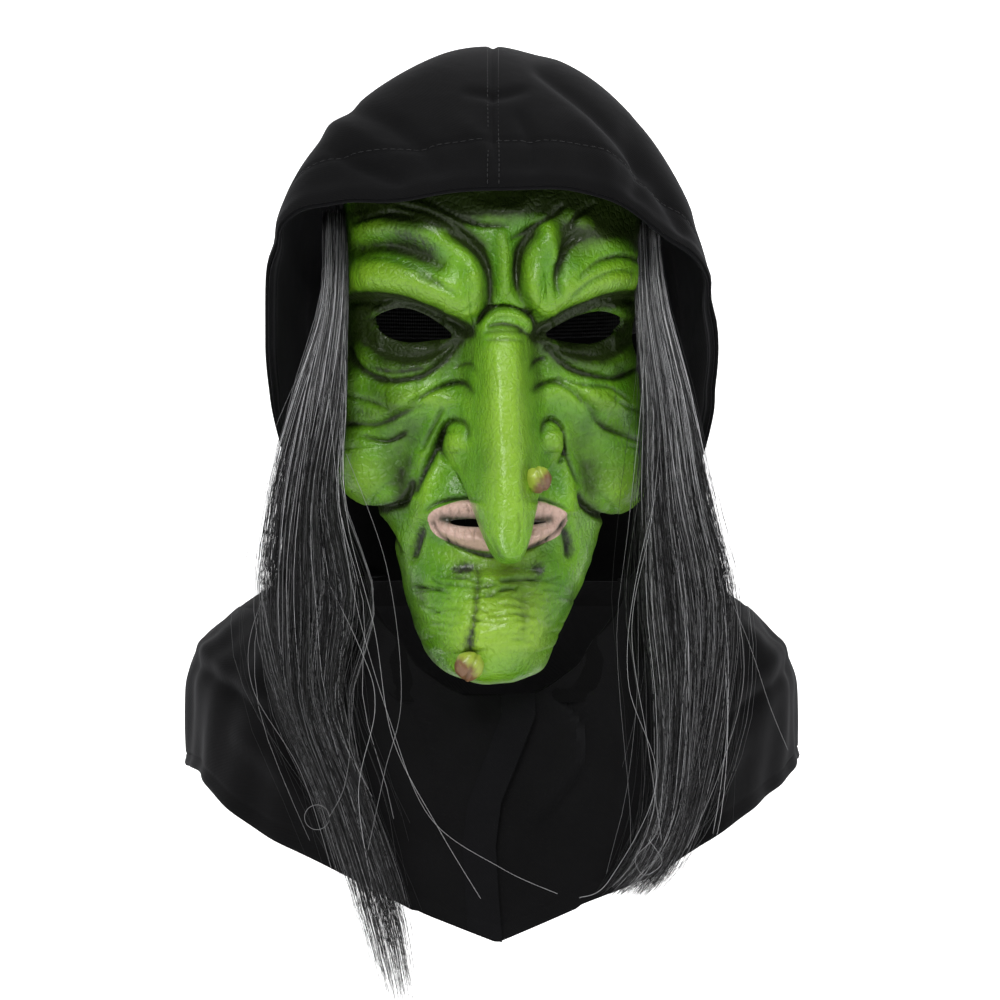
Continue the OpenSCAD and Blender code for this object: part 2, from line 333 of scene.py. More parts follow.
def crease(width: float, depth: float, *path: Point, **marks: float | bool) -> Stroke:
    """A pressed-in stroke, darkened in proportion to its depth unless told otherwise: dark wash paint and
    painted shade in the crease.

    Args:
        width: Half width, mm.
        depth: Depth, mm.
        *path: Points of its line.
        **marks: Its paint.

    Returns:
        The stroke.
    """
    # The deeper the crease, the darker: dark wash paint and painted shade together.
    marks.setdefault("dark", min(0.8, 0.1 + depth / 6))
    return Stroke(path, width, -depth, **marks)


def wash_and_shade(width: float, strength: float, *path: Point) -> Stroke:
    """Dark stroke with no relief: some are dark wash paint, some are painted shade.

    Args:
        width: Half width, mm.
        strength: How dark, 0 to 1.
        *path: Points of its line.

    Returns:
        The stroke.
    """
    return Stroke(path, width, dark=strength)


# ---- Node graphs ----

Socket = bpy.types.NodeSocket


class Graph:
    """A material's nodes, built with short calls."""

    def __init__(self, name: str) -> None:
        """Starts a material.

        Args:
            name: The material's name.
        """
        self.material = bpy.data.materials.new(name)
        self.material.use_nodes = True
        self.tree = self.material.node_tree
        self.tree.nodes.clear()
        self.output = self.tree.nodes.new("ShaderNodeOutputMaterial")
        self.surface = self.tree.nodes.new("ShaderNodeBsdfPrincipled")
        self.link(self.surface.outputs[0], self.output.inputs["Surface"])
        self.place = self.tree.nodes.new("ShaderNodeTexCoord").outputs["Object"]

    def link(self, out: Socket, into: Socket) -> None:
        """Joins two sockets.

        Args:
            out: Where the value comes from.
            into: Where it goes.
        """
        self.tree.links.new(out, into)

    def feed(self, into: Socket, value: Socket | float | Sequence[float]) -> None:
        """Sets a socket from another socket or from a plain value.

        Args:
            into: The socket to set.
            value: What to set it to.
        """
        if isinstance(value, bpy.types.NodeSocket):
            self.link(value, into)
        else:
            into.default_value = value

    def set(self, **values: Socket | float | Sequence[float]) -> None:
        """Sets the surface shader's sockets, with underscores for spaces in their names.

        Args:
            **values: Value for each socket.
        """
        for key, value in values.items():
            self.feed(self.surface.inputs[key.replace("_", " ")], value)

    def noise(self, size_mm: float, detail: float = 3.0, rough: float = 0.55,
              stretch: Sequence[float] = (1, 1, 1)) -> Socket:
        """Cloudy noise.

        Args:
            size_mm: Size of its blobs.
            detail: Octaves.
            rough: Weight of the fine octaves.
            stretch: How much longer its blobs are along x, y and z.

        Returns:
            The value, about 0 to 1.
        """
        mapping = self.tree.nodes.new("ShaderNodeMapping")
        mapping.inputs["Scale"].default_value = [1 / s for s in stretch]
        self.link(self.place, mapping.inputs["Vector"])
        node = self.tree.nodes.new("ShaderNodeTexNoise")
        self.link(mapping.outputs[0], node.inputs["Vector"])
        node.inputs["Scale"].default_value = 1 / (size_mm * MM)
        node.inputs["Detail"].default_value = detail
        node.inputs["Roughness"].default_value = rough
        return node.outputs["Fac"]

    def ribs(self, size_mm: float, axis: str, wobble: float = 0.0) -> Socket:
        """Parallel ribs, as in knit.

        Args:
            size_mm: Distance from rib to rib.
            axis: X, Y, Z or DIAGONAL.
            wobble: How much the ribs wander.

        Returns:
            The value, 0 to 1.
        """
        node = self.tree.nodes.new("ShaderNodeTexWave")
        node.wave_type = "BANDS"
        node.bands_direction = axis
        self.link(self.place, node.inputs["Vector"])
        node.inputs["Scale"].default_value = 0.314 / (size_mm * MM)
        node.inputs["Distortion"].default_value = wobble
        node.inputs["Detail"].default_value = 1.0
        return node.outputs["Fac"]

    def cells(self, size_mm: float) -> Socket:
        """Distance to the edge between random cells, for cracks and pores.

        Args:
            size_mm: Size of a cell.

        Returns:
            The distance.
        """
        node = self.tree.nodes.new("ShaderNodeTexVoronoi")
        node.feature = "DISTANCE_TO_EDGE"
        self.link(self.place, node.inputs["Vector"])
        node.inputs["Scale"].default_value = 1 / (size_mm * MM)
        return node.outputs["Distance"]

    def attribute(self, name: str) -> Socket:
        """A number painted on the mesh.

        Args:
            name: The attribute.

        Returns:
            Its value.
        """
        node = self.tree.nodes.new("ShaderNodeAttribute")
        node.attribute_name = name
        return node.outputs["Fac"]

    def math(self, kind: str, a: Socket | float, b: Socket | float = 0.0, clamp: bool = False) -> Socket:
        """A sum on one or two values.

        Args:
            kind: Blender's name for the operation.
            a: First value.
            b: Second value.
            clamp: True to keep the result in 0..1.

        Returns:
            The result.
        """
        node = self.tree.nodes.new("ShaderNodeMath")
        node.operation = kind
        node.use_clamp = clamp
        self.feed(node.inputs[0], a)
        self.feed(node.inputs[1], b)
        return node.outputs[0]

    def spread(self, value: Socket, low: float, high: float, to_low: float = 0.0,
               to_high: float = 1.0) -> Socket:
        """Maps a range of values onto another, clamped.

        Args:
            value: The value.
            low: Maps to to_low.
            high: Maps to to_high.
            to_low: Result at low.
            to_high: Result at high.

        Returns:
            The mapped value.
        """
        node = self.tree.nodes.new("ShaderNodeMapRange")
        self.link(value, node.inputs["Value"])
        for name, number in (("From Min", low), ("From Max", high), ("To Min", to_low), ("To Max", to_high)):
            node.inputs[name].default_value = number
        return node.outputs["Result"]

    def blend(self, share: Socket | float, a: Socket | Sequence[float],
              b: Socket | Sequence[float]) -> Socket:
        """Mixes two colours.

        Args:
            share: 0 for a, 1 for b.
            a: First colour, linear RGB.
            b: Second colour.

        Returns:
            The colour.
        """
        node = self.tree.nodes.new("ShaderNodeMix")
        node.data_type = "RGBA"
        self.feed(node.inputs[0], share)
        for socket, colour in ((node.inputs[6], a), (node.inputs[7], b)):
            self.feed(socket, colour if isinstance(colour, bpy.types.NodeSocket) else (*colour, 1.0))
        return node.outputs[2]

    def bump(self, height: Socket, depth_mm: float, strength: float = 1.0,
             under: Socket | None = None) -> Socket:
        """Turns a height into a bent normal.

        Args:
            height: The height, 0 to 1.
            depth_mm: What 1 stands for.
            strength: How strong.
            under: Normal that it adds to.

        Returns:
            The normal.
        """
        node = self.tree.nodes.new("ShaderNodeBump")
        node.inputs["Strength"].default_value = strength
        node.inputs["Distance"].default_value = depth_mm * MM
        self.link(height, node.inputs["Height"])
        if under is not None:
            self.link(under, node.inputs["Normal"])
        return node.outputs[0]


# ---- Finishes ----


@dataclass(frozen=True)
class PaintedLatex:
    """Slush-cast latex, sprayed lime green, washed dark in its folds and dry-brushed black, with painted
    shade in its dark layer and painted highlight in its yellow layer.

    Args:
        green: The sprayed green.
        lime: Brighter green of the high places.
        yellow: The highlight on the nose, chin and brows.
        wash_and_shade: The dark wash, which also serves as painted shade.
        ink: The black dry brush.
        flesh: The lips.
    """

    green: tuple[float, float, float] = (0.085, 0.265, 0.006)
    lime: tuple[float, float, float] = (0.16, 0.4, 0.011)
    yellow: tuple[float, float, float] = (0.33, 0.55, 0.03)
    wash_and_shade: tuple[float, float, float] = (0.016, 0.026, 0.004)
    ink: tuple[float, float, float] = (0.006, 0.006, 0.006)
    flesh: tuple[float, float, float] = (0.7, 0.47, 0.39)

    def make(self) -> bpy.types.Material:
        """Builds the material.

        Returns:
            The material.
        """
        g = Graph("painted_latex")
        dark = g.attribute("dark")
        glow = g.attribute("glow")
        black = g.attribute("black")
        lip = g.attribute("lip")
        clouds = g.spread(g.noise(26, 3), 0.38, 0.62)
        mottle = g.noise(5, 4, 0.6)
        scratch = g.noise(1.4, 5, 0.7, (1, 1, 2.5))
        colour = g.blend(clouds, self.green, self.lime)
        glow_edge = g.spread(g.math("ADD", glow, g.math("MULTIPLY", g.math("SUBTRACT", mottle, 0.5), 0.35)),
                             0.05, 1.1)
        colour = g.blend(glow_edge, colour, self.yellow)
        colour = g.blend(g.spread(lip, 0.35, 0.65), colour, self.flesh)
        # Darkened by the dark layer: dark wash paint, and painted shade in the hollows, under the hood's rim
        # and down the sides of the face.
        dark_edge = g.spread(g.math("ADD", dark, g.math("MULTIPLY", g.math("SUBTRACT", mottle, 0.5), 0.6)),
                             0.12, 1.0)
        colour = g.blend(g.math("MULTIPLY", dark_edge, 0.97), colour, self.wash_and_shade)
        scratched = g.math("MULTIPLY", g.math("SUBTRACT", scratch, 0.52), 1.6)
        black_edge = g.spread(g.math("ADD", black, scratched), 0.22, 0.85, 0.0, 0.93)
        colour = g.blend(black_edge, colour, self.ink)
        grain = g.bump(g.noise(0.9, 4, 0.6), 0.12, 0.6)
        leather = g.bump(g.spread(g.cells(3.2), 0.0, 0.25), 0.45, 0.6, grain)
        wrinkles = g.bump(g.noise(2.4, 4, 0.65, (1, 1, 2.6)), 0.8, 0.7, leather)
        lumps = g.bump(g.noise(6.5, 3, 0.55, (1, 1, 1.8)), 1.5, 0.7, wrinkles)
        film = g.bump(g.noise(5, 3, 0.6, (1, 1, 1.5)), 0.85, 0.6)
        matt = g.math("ADD", g.math("MULTIPLY", dark, 0.1), g.math("MULTIPLY", glow, 0.06))
        g.set(Base_Color=colour, Normal=lumps,
              Roughness=g.math("ADD", g.spread(mottle, 0.3, 0.7, 0.26, 0.42), matt, True),
              Specular_IOR_Level=g.spread(dark, 0.2, 0.9, 0.5, 0.28), Coat_Weight=0.3, Coat_Roughness=0.17,
              Coat_Normal=film)
        return g.material


@dataclass(frozen=True)
class WartLatex:
    """Yellow-green latex bead with one side painted brown.

    Args:
        light: The bare side.
        brown: The painted side.
    """

    light: tuple[float, float, float] = (0.36, 0.46, 0.05)
    brown: tuple[float, float, float] = (0.2, 0.1, 0.045)

    def make(self) -> bpy.types.Material:
        """Builds the material.

        Returns:
            The material.
        """
        g = Graph("wart_latex")
        brown = g.attribute("brown")
        mottle = g.noise(2.2, 3)
        edge = g.spread(g.math("ADD", brown, g.math("SUBTRACT", mottle, 0.5)), 0.15, 0.9)
        colour = g.blend(edge, self.light, self.brown)
        # Darker in the groove round the bead: painted shade.
        colour = g.blend(g.attribute("groove"), colour, (0.03, 0.03, 0.01))
        g.set(Base_Color=colour, Roughness=0.36, Normal=g.bump(g.noise(1.1, 4), 0.12, 0.6),
              Coat_Weight=0.15, Coat_Roughness=0.2)
        return g.material


@dataclass(frozen=True)
class Knit:
    """Matt black knitted cloth.

    Args:
        name: The material's name.
        tint: Its colour.
        worn_and_sheen_tint: Its colour where it is worn and where its fuzz catches the light: wear and
            painted sheen, in random patches.
        rib_mm: Distance between its ribs.
        sheen: How much fuzz catches the light.
    """

    name: str = "black_knit"
    tint: tuple[float, float, float] = (0.0025, 0.0025, 0.0027)
    worn_and_sheen_tint: tuple[float, float, float] = (0.0062, 0.0062, 0.0066)
    rib_mm: float = 0.9
    sheen: float = 0.065

    def make(self) -> bpy.types.Material:
        """Builds the material.

        Returns:
            The material.
        """
        g = Graph(self.name)
        ribs = g.ribs(self.rib_mm, "DIAGONAL", 0.4)
        fuzz = g.noise(0.5, 3, 0.7)
        patches = g.spread(g.noise(40, 4), 0.35, 0.7)
        # Lighter in random patches of fuzz: wear and painted sheen.
        colour = g.blend(g.math("MULTIPLY", patches, g.spread(fuzz, 0.3, 0.8)), self.tint, self.worn_and_sheen_tint)
        weave = g.bump(ribs, 0.12, 0.35)
        fluff = g.bump(fuzz, 0.15, 0.4, weave)
        rumple = g.bump(g.noise(14, 3, 0.5), 0.8, 0.5, fluff)
        g.set(Base_Color=colour, Roughness=0.92, Normal=rumple, Specular_IOR_Level=0.12,
              Sheen_Weight=self.sheen, Sheen_Roughness=0.5, Sheen_Tint=(0.6, 0.6, 0.65, 1.0))
        return g.material


@dataclass(frozen=True)
class Hair:
    """Silky synthetic fibres whose tone runs from black to white.

    Args:
        black: The darkest strand.
        white: The lightest strand.
    """

    black: tuple[float, float, float] = (0.006, 0.006, 0.0065)
    white: tuple[float, float, float] = (0.78, 0.78, 0.8)

    def make(self) -> bpy.types.Material:
        """Builds the material.

        Returns:
            The material.
        """
        g = Graph("grey_hair")
        colour = g.blend(g.attribute("tone"), self.black, self.white)
        g.set(Base_Color=colour, Roughness=0.3, Specular_IOR_Level=0.6, Anisotropic=0.4,
              Coat_Weight=0.0, Normal=g.bump(g.noise(3, 2), 0.05, 0.2))
        return g.material


@dataclass(frozen=True)
class Thread:
    """Black sewing thread, and woven tape and elastic in the same black.

    Args:
        name: The material's name.
        tint: Its colour.
        rib_mm: Distance between its ribs.
        axis: Which way the ribs follow each other.
    """

    name: str = "black_thread"
    tint: tuple[float, float, float] = (0.012, 0.012, 0.013)
    rib_mm: float = 0.4
    axis: str = "DIAGONAL"

    def make(self) -> bpy.types.Material:
        """Builds the material.

        Returns:
            The material.
        """
        g = Graph(self.name)
        ribs = g.ribs(self.rib_mm, self.axis)
        pale = tuple(min(1.0, 2.2 * c) for c in self.tint)
        colour = g.blend(g.math("MULTIPLY", ribs, 0.5), self.tint, pale)
        g.set(Base_Color=colour, Roughness=0.6, Specular_IOR_Level=0.3, Normal=g.bump(ribs, 0.15, 0.6),
              Sheen_Weight=0.1, Sheen_Roughness=0.4)
        return g.material


@dataclass(frozen=True)
class NickelSteel:
    """Nickel-plated steel with fine handling marks."""

    def make(self) -> bpy.types.Material:
        """Builds the material.

        Returns:
            The material.
        """
        g = Graph("rivet_steel")
        marks = g.noise(0.8, 4, 0.7)
        g.set(Base_Color=(0.6, 0.6, 0.61, 1.0), Metallic=1.0, Roughness=g.spread(marks, 0.3, 0.7, 0.22, 0.4),
              Normal=g.bump(marks, 0.02, 0.3))
        return g.material


# ---- Meshes ----


def piece(name: str, points: Array, faces: Sequence, material: bpy.types.Material,
          sharp_deg: float = 50.0) -> bpy.types.Object:
    """Makes an object from points in millimetres.

    Args:
        name: The object's name.
        points: Its points, n x 3.
        faces: Its faces.
        material: Its material.
        sharp_deg: Edges that bend more than this stay sharp.

    Returns:
        The object.
    """
    mesh = bpy.data.meshes.new(name)
    mesh.from_pydata((np.asarray(points, float).reshape(-1, 3) * MM).tolist(), [], [list(f) for f in faces])
    mesh.validate()
    mesh.polygons.foreach_set("use_smooth", [True] * len(mesh.polygons))
    mesh.materials.append(material)
    obj = bpy.data.objects.new(name, mesh)
    bpy.context.scene.collection.objects.link(obj)
    mesh.set_sharp_from_angle(angle=math.radians(sharp_deg))
    return obj


def grid_faces(rows: int, cols: int, flip: bool = False) -> Array:
    """Quads of a grid of points.

    Args:
        rows: Rows of points.
        cols: Columns of points.
        flip: True to turn the quads over.

    Returns:
        Four point numbers for each quad.
    """
    first = (np.arange(rows - 1)[:, None] * cols + np.arange(cols - 1)[None, :]).ravel()
    quads = np.stack([first, first + 1, first + cols + 1, first + cols], axis=1)
    return quads[:, ::-1] if flip else quads


def paint(obj: bpy.types.Object, name: str, values: Array) -> None:
    """Stores a number on each point of a mesh.

    Args:
        obj: The object.
        name: The attribute's name.
        values: One number for each point.
    """
    layer = obj.data.attributes.new(name, "FLOAT", "POINT")
    layer.data.foreach_set("value", np.asarray(values, np.float32).ravel())


def thicken(obj: bpy.types.Object, thickness_mm: float) -> bpy.types.Object:
    """Gives a sheet its thickness, inward from the side its normals point to, and keeps it.

    Args:
        obj: The sheet.
        thickness_mm: How thick.

    Returns:
        The same object.
    """
    solid = obj.modifiers.new("thickness", "SOLIDIFY")
    solid.thickness = thickness_mm * MM
    solid.offset = -1.0
    solid.use_quality_normals = True
    graph = bpy.context.evaluated_depsgraph_get()
    thick = bpy.data.meshes.new_from_object(obj.evaluated_get(graph))
    thick.name = obj.name
    obj.modifiers.clear()
    obj.data = thick
    thick.set_sharp_from_angle(angle=math.radians(50))
    return obj


def cloth(name: str, grid: Array, material: bpy.types.Material, flip: bool = False,
          thickness_mm: float = 1.1) -> bpy.types.Object:
    """Makes a piece of cloth from a grid of points on its outer side.

    Args:
        name: The object's name.
        grid: Rows x columns x 3, mm.
        material: Its material.
        flip: True if the grid's quads face inward.
        thickness_mm: How thick.

    Returns:
        The object.
    """
    rows, cols = grid.shape[:2]
    obj = piece(name, grid, grid_faces(rows, cols, flip), material)
    LOG.info("%s: %.4f square metres of cloth", name, sum(p.area for p in obj.data.polygons))
    return thicken(obj, thickness_mm)


def tube_rings(line: Array, radius: Array, sides: int, flat: float = 1.0) -> tuple[Array, Array]:
    """Points and faces of a closed tube along a line.

    Args:
        line: Points along the middle, n x 3.
        radius: Radius at each point.
        sides: Corners of its section.
        flat: Thickness as a share of its width.

    Returns:
        The points and the faces of its walls, as quads.
    """
    count = len(line)
    run = np.gradient(line, axis=0)
    run /= np.maximum(np.linalg.norm(run, axis=1, keepdims=True), 1e-9)
    guide = np.array([0.31, -0.9, 0.3])
    one = np.cross(run, guide)
    one /= np.maximum(np.linalg.norm(one, axis=1, keepdims=True), 1e-9)
    two = np.cross(run, one) * flat
    angle = np.arange(sides) * 2 * math.pi / sides
    ring = one[:, None] * np.cos(angle)[None, :, None] + two[:, None] * np.sin(angle)[None, :, None]
    points = (line[:, None] + ring * np.asarray(radius)[:, None, None]).reshape(-1, 3)
    start = (np.arange(count - 1)[:, None] * sides + np.arange(sides)[None, :]).ravel()
    turn = (np.arange(count - 1)[:, None] * sides + (np.arange(sides) + 1)[None, :] % sides).ravel()
    walls = np.stack([start, turn, turn + sides, start + sides], axis=1)
    return points, walls


class Bundle:
    """Collects many closed tubes into one mesh."""

    def __init__(self, name: str, sides: int = 3) -> None:
        """Starts an empty bundle.

        Args:
            name: The object's name.
            sides: Corners of each tube's section.
        """
        self.name = name
        self.sides = sides
        self.points: list[Array] = []
        self.faces: list[list[int]] = []
        self.tones: list[Array] = []
        self.count = 0

    def add(self, line: Array, radius: Array, tone: Array | float = 0.0) -> None:
        """Adds a tube.

        Args:
            line: Its middle line, mm.
            radius: Its radius at each point, mm.
            tone: Its number, or one number for each point, in the tone attribute.
        """
        points, walls = tube_rings(line, radius, self.sides)
        self.points.append(points)
        self.faces.extend((walls + self.count).tolist())
        last = self.count + len(points)
        self.faces.append(list(range(self.count + self.sides - 1, self.count - 1, -1)))
        self.faces.append(list(range(last - self.sides, last)))
        self.tones.append(np.repeat(np.broadcast_to(tone, len(line)), self.sides))
        self.count = last

    def build(self, material: bpy.types.Material) -> bpy.types.Object:
        """Makes the object.

        Args:
            material: Its material.

        Returns:
            The object.
        """
        obj = piece(self.name, np.concatenate(self.points), self.faces, material, 180.0)
        paint(obj, "tone", np.concatenate(self.tones))
        return obj


def stitches(name: str, lines: Sequence[Array], material: bpy.types.Material, length_mm: float = 2.6,
             gap_mm: float = 1.1, radius_mm: float = 0.24) -> bpy.types.Object:
    """Rows of sewing stitches lying on cloth.

    Args:
        name: The object's name.
        lines: Lines that the rows follow, mm.
        material: The thread.
        length_mm: Length of one stitch.
        gap_mm: Gap to the next one.
        radius_mm: Radius of the thread.

    Returns:
        The object.
    """
    bundle = Bundle(name, 5)
    for line in lines:
        steps = np.linalg.norm(np.diff(line, axis=0), axis=1)
        far = np.concatenate([[0.0], np.cumsum(steps)])
        pitch = length_mm + gap_mm
        for start in np.arange(gap_mm, far[-1] - pitch, pitch):
            places = np.linspace(start, start + length_mm, 5)
            middle = np.stack([np.interp(places, far, line[:, k]) for k in range(3)], axis=1)
            bundle.add(middle, radius_mm * np.array([0.45, 0.9, 1.0, 0.9, 0.45]))
    return bundle.build(material)


# ---- Face ----


@dataclass(frozen=True)
class Outline:
    """A closed outline, as the viewer sees it.

    Args:
        corners: Points (across, height) that it runs through, mm.
    """

    corners: tuple[Point, ...]

    def line(self) -> Array:
        """The smooth closed line.

        Returns:
            Points along it, the first one repeated at the end.
        """
        count = len(self.corners)
        ring = [self.corners[i % count] for i in range(-1, count + 2)]
        t = np.linspace(1 / (count + 2), (count + 1) / (count + 2), 12 * count + 1)
        return through(ring, t)

    def inside(self, across: Array, height: Array) -> Array:
        """Which places are inside.

        Args:
            across: Places across, mm.
            height: Heights, mm.

        Returns:
            True for each place inside.
        """
        line = self.line()
        odd = np.zeros(across.shape, bool)
        for (ax, az), (bx, bz) in zip(line[:-1], line[1:]):
            if az == bz:
                continue
            crosses = (az > height) != (bz > height)
            odd ^= crosses & (across < (bx - ax) * (height - az) / (bz - az) + ax)
        return odd

    def nearest(self, place: Array) -> Array:
        """The point of the line nearest to a place.

        Args:
            place: (across, height), mm.

        Returns:
            The nearest point.
        """
        line = self.line()
        a, b = line[:-1], line[1:]
        run = b - a
        f = np.clip(((place - a) * run).sum(1) / np.maximum((run**2).sum(1), 1e-9), 0, 1)
        near = a + run * f[:, None]
        return near[np.argmin(((near - place) ** 2).sum(1))]


@dataclass
class Face:
    """The painted latex face: smooth form, hooked nose, sculpted folds, paint, painted shade and painted
    highlight.

    Args:
        half_width: Half width across the cheeks.
        wall: Thickness of the latex.
        cols: Columns of points.
        rows: Rows of points.
        depth_share: Deepens every stroke by this factor.
        nose_reach: How far the nose stands out.
        nose_droop: How far the nose hangs.
        nose_root: Height of the nose's root.
        beak: Height on the smooth form that becomes the nose's foremost place.
        nostrils: Height on the smooth form that becomes the nose's lowest place.
        nose_under: Where the nose's underside ends.
        mouth_z: Height of the mouth.
        skin: The sculpted grid, once it is built.
        profile: The face's middle line from the side.
        widths: Share of the half width at each place of the profile.
        edges: How far forward the face's sides stand at each place of the profile.
        eyes: Outlines of the two eye holes.
        mouth: Outline of the mouth's opening.
    """

    half_width: float = 71.0
    wall: float = 1.7
    cols: int = 360
    rows: int = 420
    depth_share: float = 1.25
    nose_reach: float = 58.0
    nose_droop: float = 50.0
    nose_root: float = 12.0
    beak: float = -57.0
    nostrils: float = -60.0
    nose_under: float = -70.0
    mouth_z: float = -91.5
    skin: Array | None = None
    # [forward of the origin, height] from under the chin to the top of the brow
    profile: tuple[Point, ...] = (
        (94, -156), (110, -165), (127, -162), (134, -150), (133, -136), (122, -120), (111, -105),
        (109, -93), (105, -80), (101, -66), (99, -50), (98, -30), (98, -12), (101, 4), (107, 20),
        (107, 40), (102, 58), (94, 74))
    widths: tuple[float, ...] = (
        0.22, 0.285, 0.345, 0.415, 0.5, 0.585, 0.65, 0.71, 0.87, 0.98, 1.0, 0.98, 0.97, 0.98, 1.01, 1.02,
        1.0, 0.95)
    edges: tuple[float, ...] = (
        86, 84, 82, 80, 76, 72, 68, 64, 59, 54, 51, 49, 48, 47, 46, 46, 48, 52)
    eyes: tuple[Outline, ...] = (
        Outline(((-58, 2), (-48, 7), (-39, 6.3), (-29, 1.4), (-21, -6), (-30, -7.8), (-42, -8.6),
                 (-52, -5.2))),
        Outline(((22, -5.5), (30, 0.5), (40, 4.8), (50, 6), (59, 2), (54, -4), (45, -8.6), (34, -8.6))))
    mouth: Outline = Outline(((-24, -91), (-16, -90.2), (0, -89.8), (15, -90.4), (23, -91.2), (14, -93),
                              (0, -93.8), (-16, -93.4)))

    def strokes(self) -> list[Stroke]:
        """Every sculpted and painted stroke of the face.

        Returns:
            The strokes, in the order they are laid.
        """
        return (self._masses() + self._brows() + self._eyes() + self._cheeks() + self._mouth()
                + self._chin() + self._nose() + self._paint())

    def _masses(self) -> list[Stroke]:
        """Broad forms under the detail."""
        return [
            bulge(14, -8, (-56, 0), (-40, -1), (-26, -4)),
            bulge(14, -8, (56, 0), (42, -1), (27, -4)),
            bulge(11, 4, (-50, -34), (-36, -32)),
            bulge(11, 4, (52, -34), (38, -32)),
            bulge(9, -4, (-40, -52), (-48, -70), (-46, -90)),
            bulge(9, -4, (38, -52), (44, -70), (44, -86)),
            bulge(9, 6, (-66, -58), (-64, -70), (-55, -78)),
            bulge(9, 6, (64, -58), (61, -74), (51, -82)),
            bulge(12, 2.5, (-16, -134), (-14, -150)),
            bulge(11, 2.5, (12, -134), (12, -150)),
            bulge(13, 4, (-22, -86), (0, -84), (22, -86)),
        ]

    def _brows(self) -> list[Stroke]:
        """Scowling brows, their knobs and the furrows between them."""
        return [
            bulge(11, 8.5, (-60, 19), (-52, 20.5), (-42, 19), (-28, 13.5), (-18, 9), (-12, 9)),
            bulge(5.5, 5, (-12, 6), (-9, 14), (-9, 24)),
            bulge(8, 3.5, (-26, 24), (-18, 17), (-14, 11)),
            bulge(8, 3.0, (28, 22), (22, 15), (18, 10)),
            bulge(6, 4.5, (-60, 44), (-42, 44), (-27, 39), (-15, 30), (-10, 20)),
            bulge(11, 8.5, (57, 19), (51, 20.5), (42, 18), (30, 12), (21, 8), (16, 9)),
            bulge(5.5, 4.5, (15, 8), (14, 16), (17, 26), (20, 38)),
            bulge(4.5, 3.5, (22, 46), (24, 36), (25, 27)),
            bulge(6, 3, (36, 48), (46, 40), (58, 34)),
            bulge(3.2, 2.8, (2, 40), (3, 26), (3, 13)),
            bulge(4.5, 2.5, (-50, 55), (-34, 51), (-20, 46)),
            bulge(4.5, 2.5, (-6, 52), (8, 50), (14, 56)),
            crease(2.9, 5.0, (-21, 40), (-12, 35), (-7, 29), (-4.5, 20), (-4.5, 11), (-7, 4), dark=0.62),
            crease(2.8, 5.0, (17, 42), (11.5, 35), (9.5, 26), (9.5, 17), (12, 10), (16, 4.5), dark=0.62),
            crease(2.0, 3.4, (37, 41), (31, 35), (28, 29), (25.5, 22), (25, 16), dark=0.5, black=0.15),
            crease(1.3, 2.0, (-46, 54), (-32, 50), (-22, 45), (-12, 38), dark=0.35),
            crease(1.3, 1.8, (-32, 56), (-20, 49), (-8, 45), (4, 44), dark=0.35),
            crease(1.2, 1.8, (30, 54), (22, 47), (14, 43), (6, 38), dark=0.35),
            crease(1.3, 1.6, (44, 55), (36, 49), (33, 43)),
            crease(3.6, 3.0, (-66, 34), (-52, 35), (-38, 31.5), (-24, 24), dark=0.3),
            crease(1.2, 1.3, (-66, 47), (-50, 50), (-38, 48)),
            crease(1.0, 1.2, (-60, 30), (-48, 29), (-36, 25), (-24, 19), dark=0.35),
            crease(1.0, 1.4, (-66, 14), (-54, 14.5), (-42, 12.5), (-30, 8), dark=0.4),
            crease(0.9, 1.2, (-34, 22), (-26, 19), (-18, 16), dark=0.35),
            crease(1.1, 1.6, (64, 30), (54, 31), (44, 28), (34, 21), dark=0.4),
            crease(0.9, 1.2, (60, 24), (50, 24.5), (40, 20.5), (31, 15), dark=0.35),
            crease(1.0, 1.4, (62, 15), (50, 14.5), (38, 10), (28, 5), dark=0.4),
            crease(2.6, 4.5, (-71, 10.5), (-58, 10), (-44, 8.6), (-30, 4.4), (-19, -0.5), (-13, -5)),
            crease(2.6, 4.5, (67, 12), (52, 11), (42, 8), (31, 3.4), (22, -2), (17, -6)),
        ]

    def _eyes(self) -> list[Stroke]:
        """Lids and the bags under them."""
        return [
            bulge(1.7, 1.2, (-61, 3.5), (-55, 7), (-47, 9.4), (-38, 8.4), (-28, 3.6), (-20, -3.5)),
            bulge(1.7, 1.2, (62, 4), (52, 8.8), (41, 7.2), (30, 2.6), (21, -4)),
            bulge(2.2, 1.5, (-61, -2), (-51, -8.6), (-40, -11.2), (-28, -10.4), (-19.5, -7.5)),
            bulge(2.2, 1.5, (21.5, -8.5), (32, -11.2), (45, -11.4), (58, -5.5)),
            bulge(4.6, 4.0, (-64, -12), (-53, -18.5), (-40, -20.5), (-28, -17), (-20, -10)),
            bulge(4.2, 4.0, (24, -11), (34, -16), (46, -19), (60, -15)),
            crease(1.1, 1.6, (-63, -8), (-52, -13.6), (-40, -15.4), (-28, -13.2), (-20, -8.6)),
            crease(1.5, 2.0, (-69, -12), (-61, -22), (-49, -26.5), (-35, -24.5), (-25, -17.5), (-18, -9),
                   dark=0.4),
            crease(0.8, 0.9, (-58, -20), (-46, -22.8), (-34, -21), dark=0.4),
            crease(1.1, 1.5, (23, -10.5), (36, -14), (50, -14.6), (62, -9)),
            crease(1.4, 1.8, (23, -11), (31, -19), (41, -23.6), (54, -25), (66, -20), dark=0.4),
            crease(0.9, 1.2, (28, -25), (38, -28.5), (50, -30), (60, -36), dark=0.4),
        ]

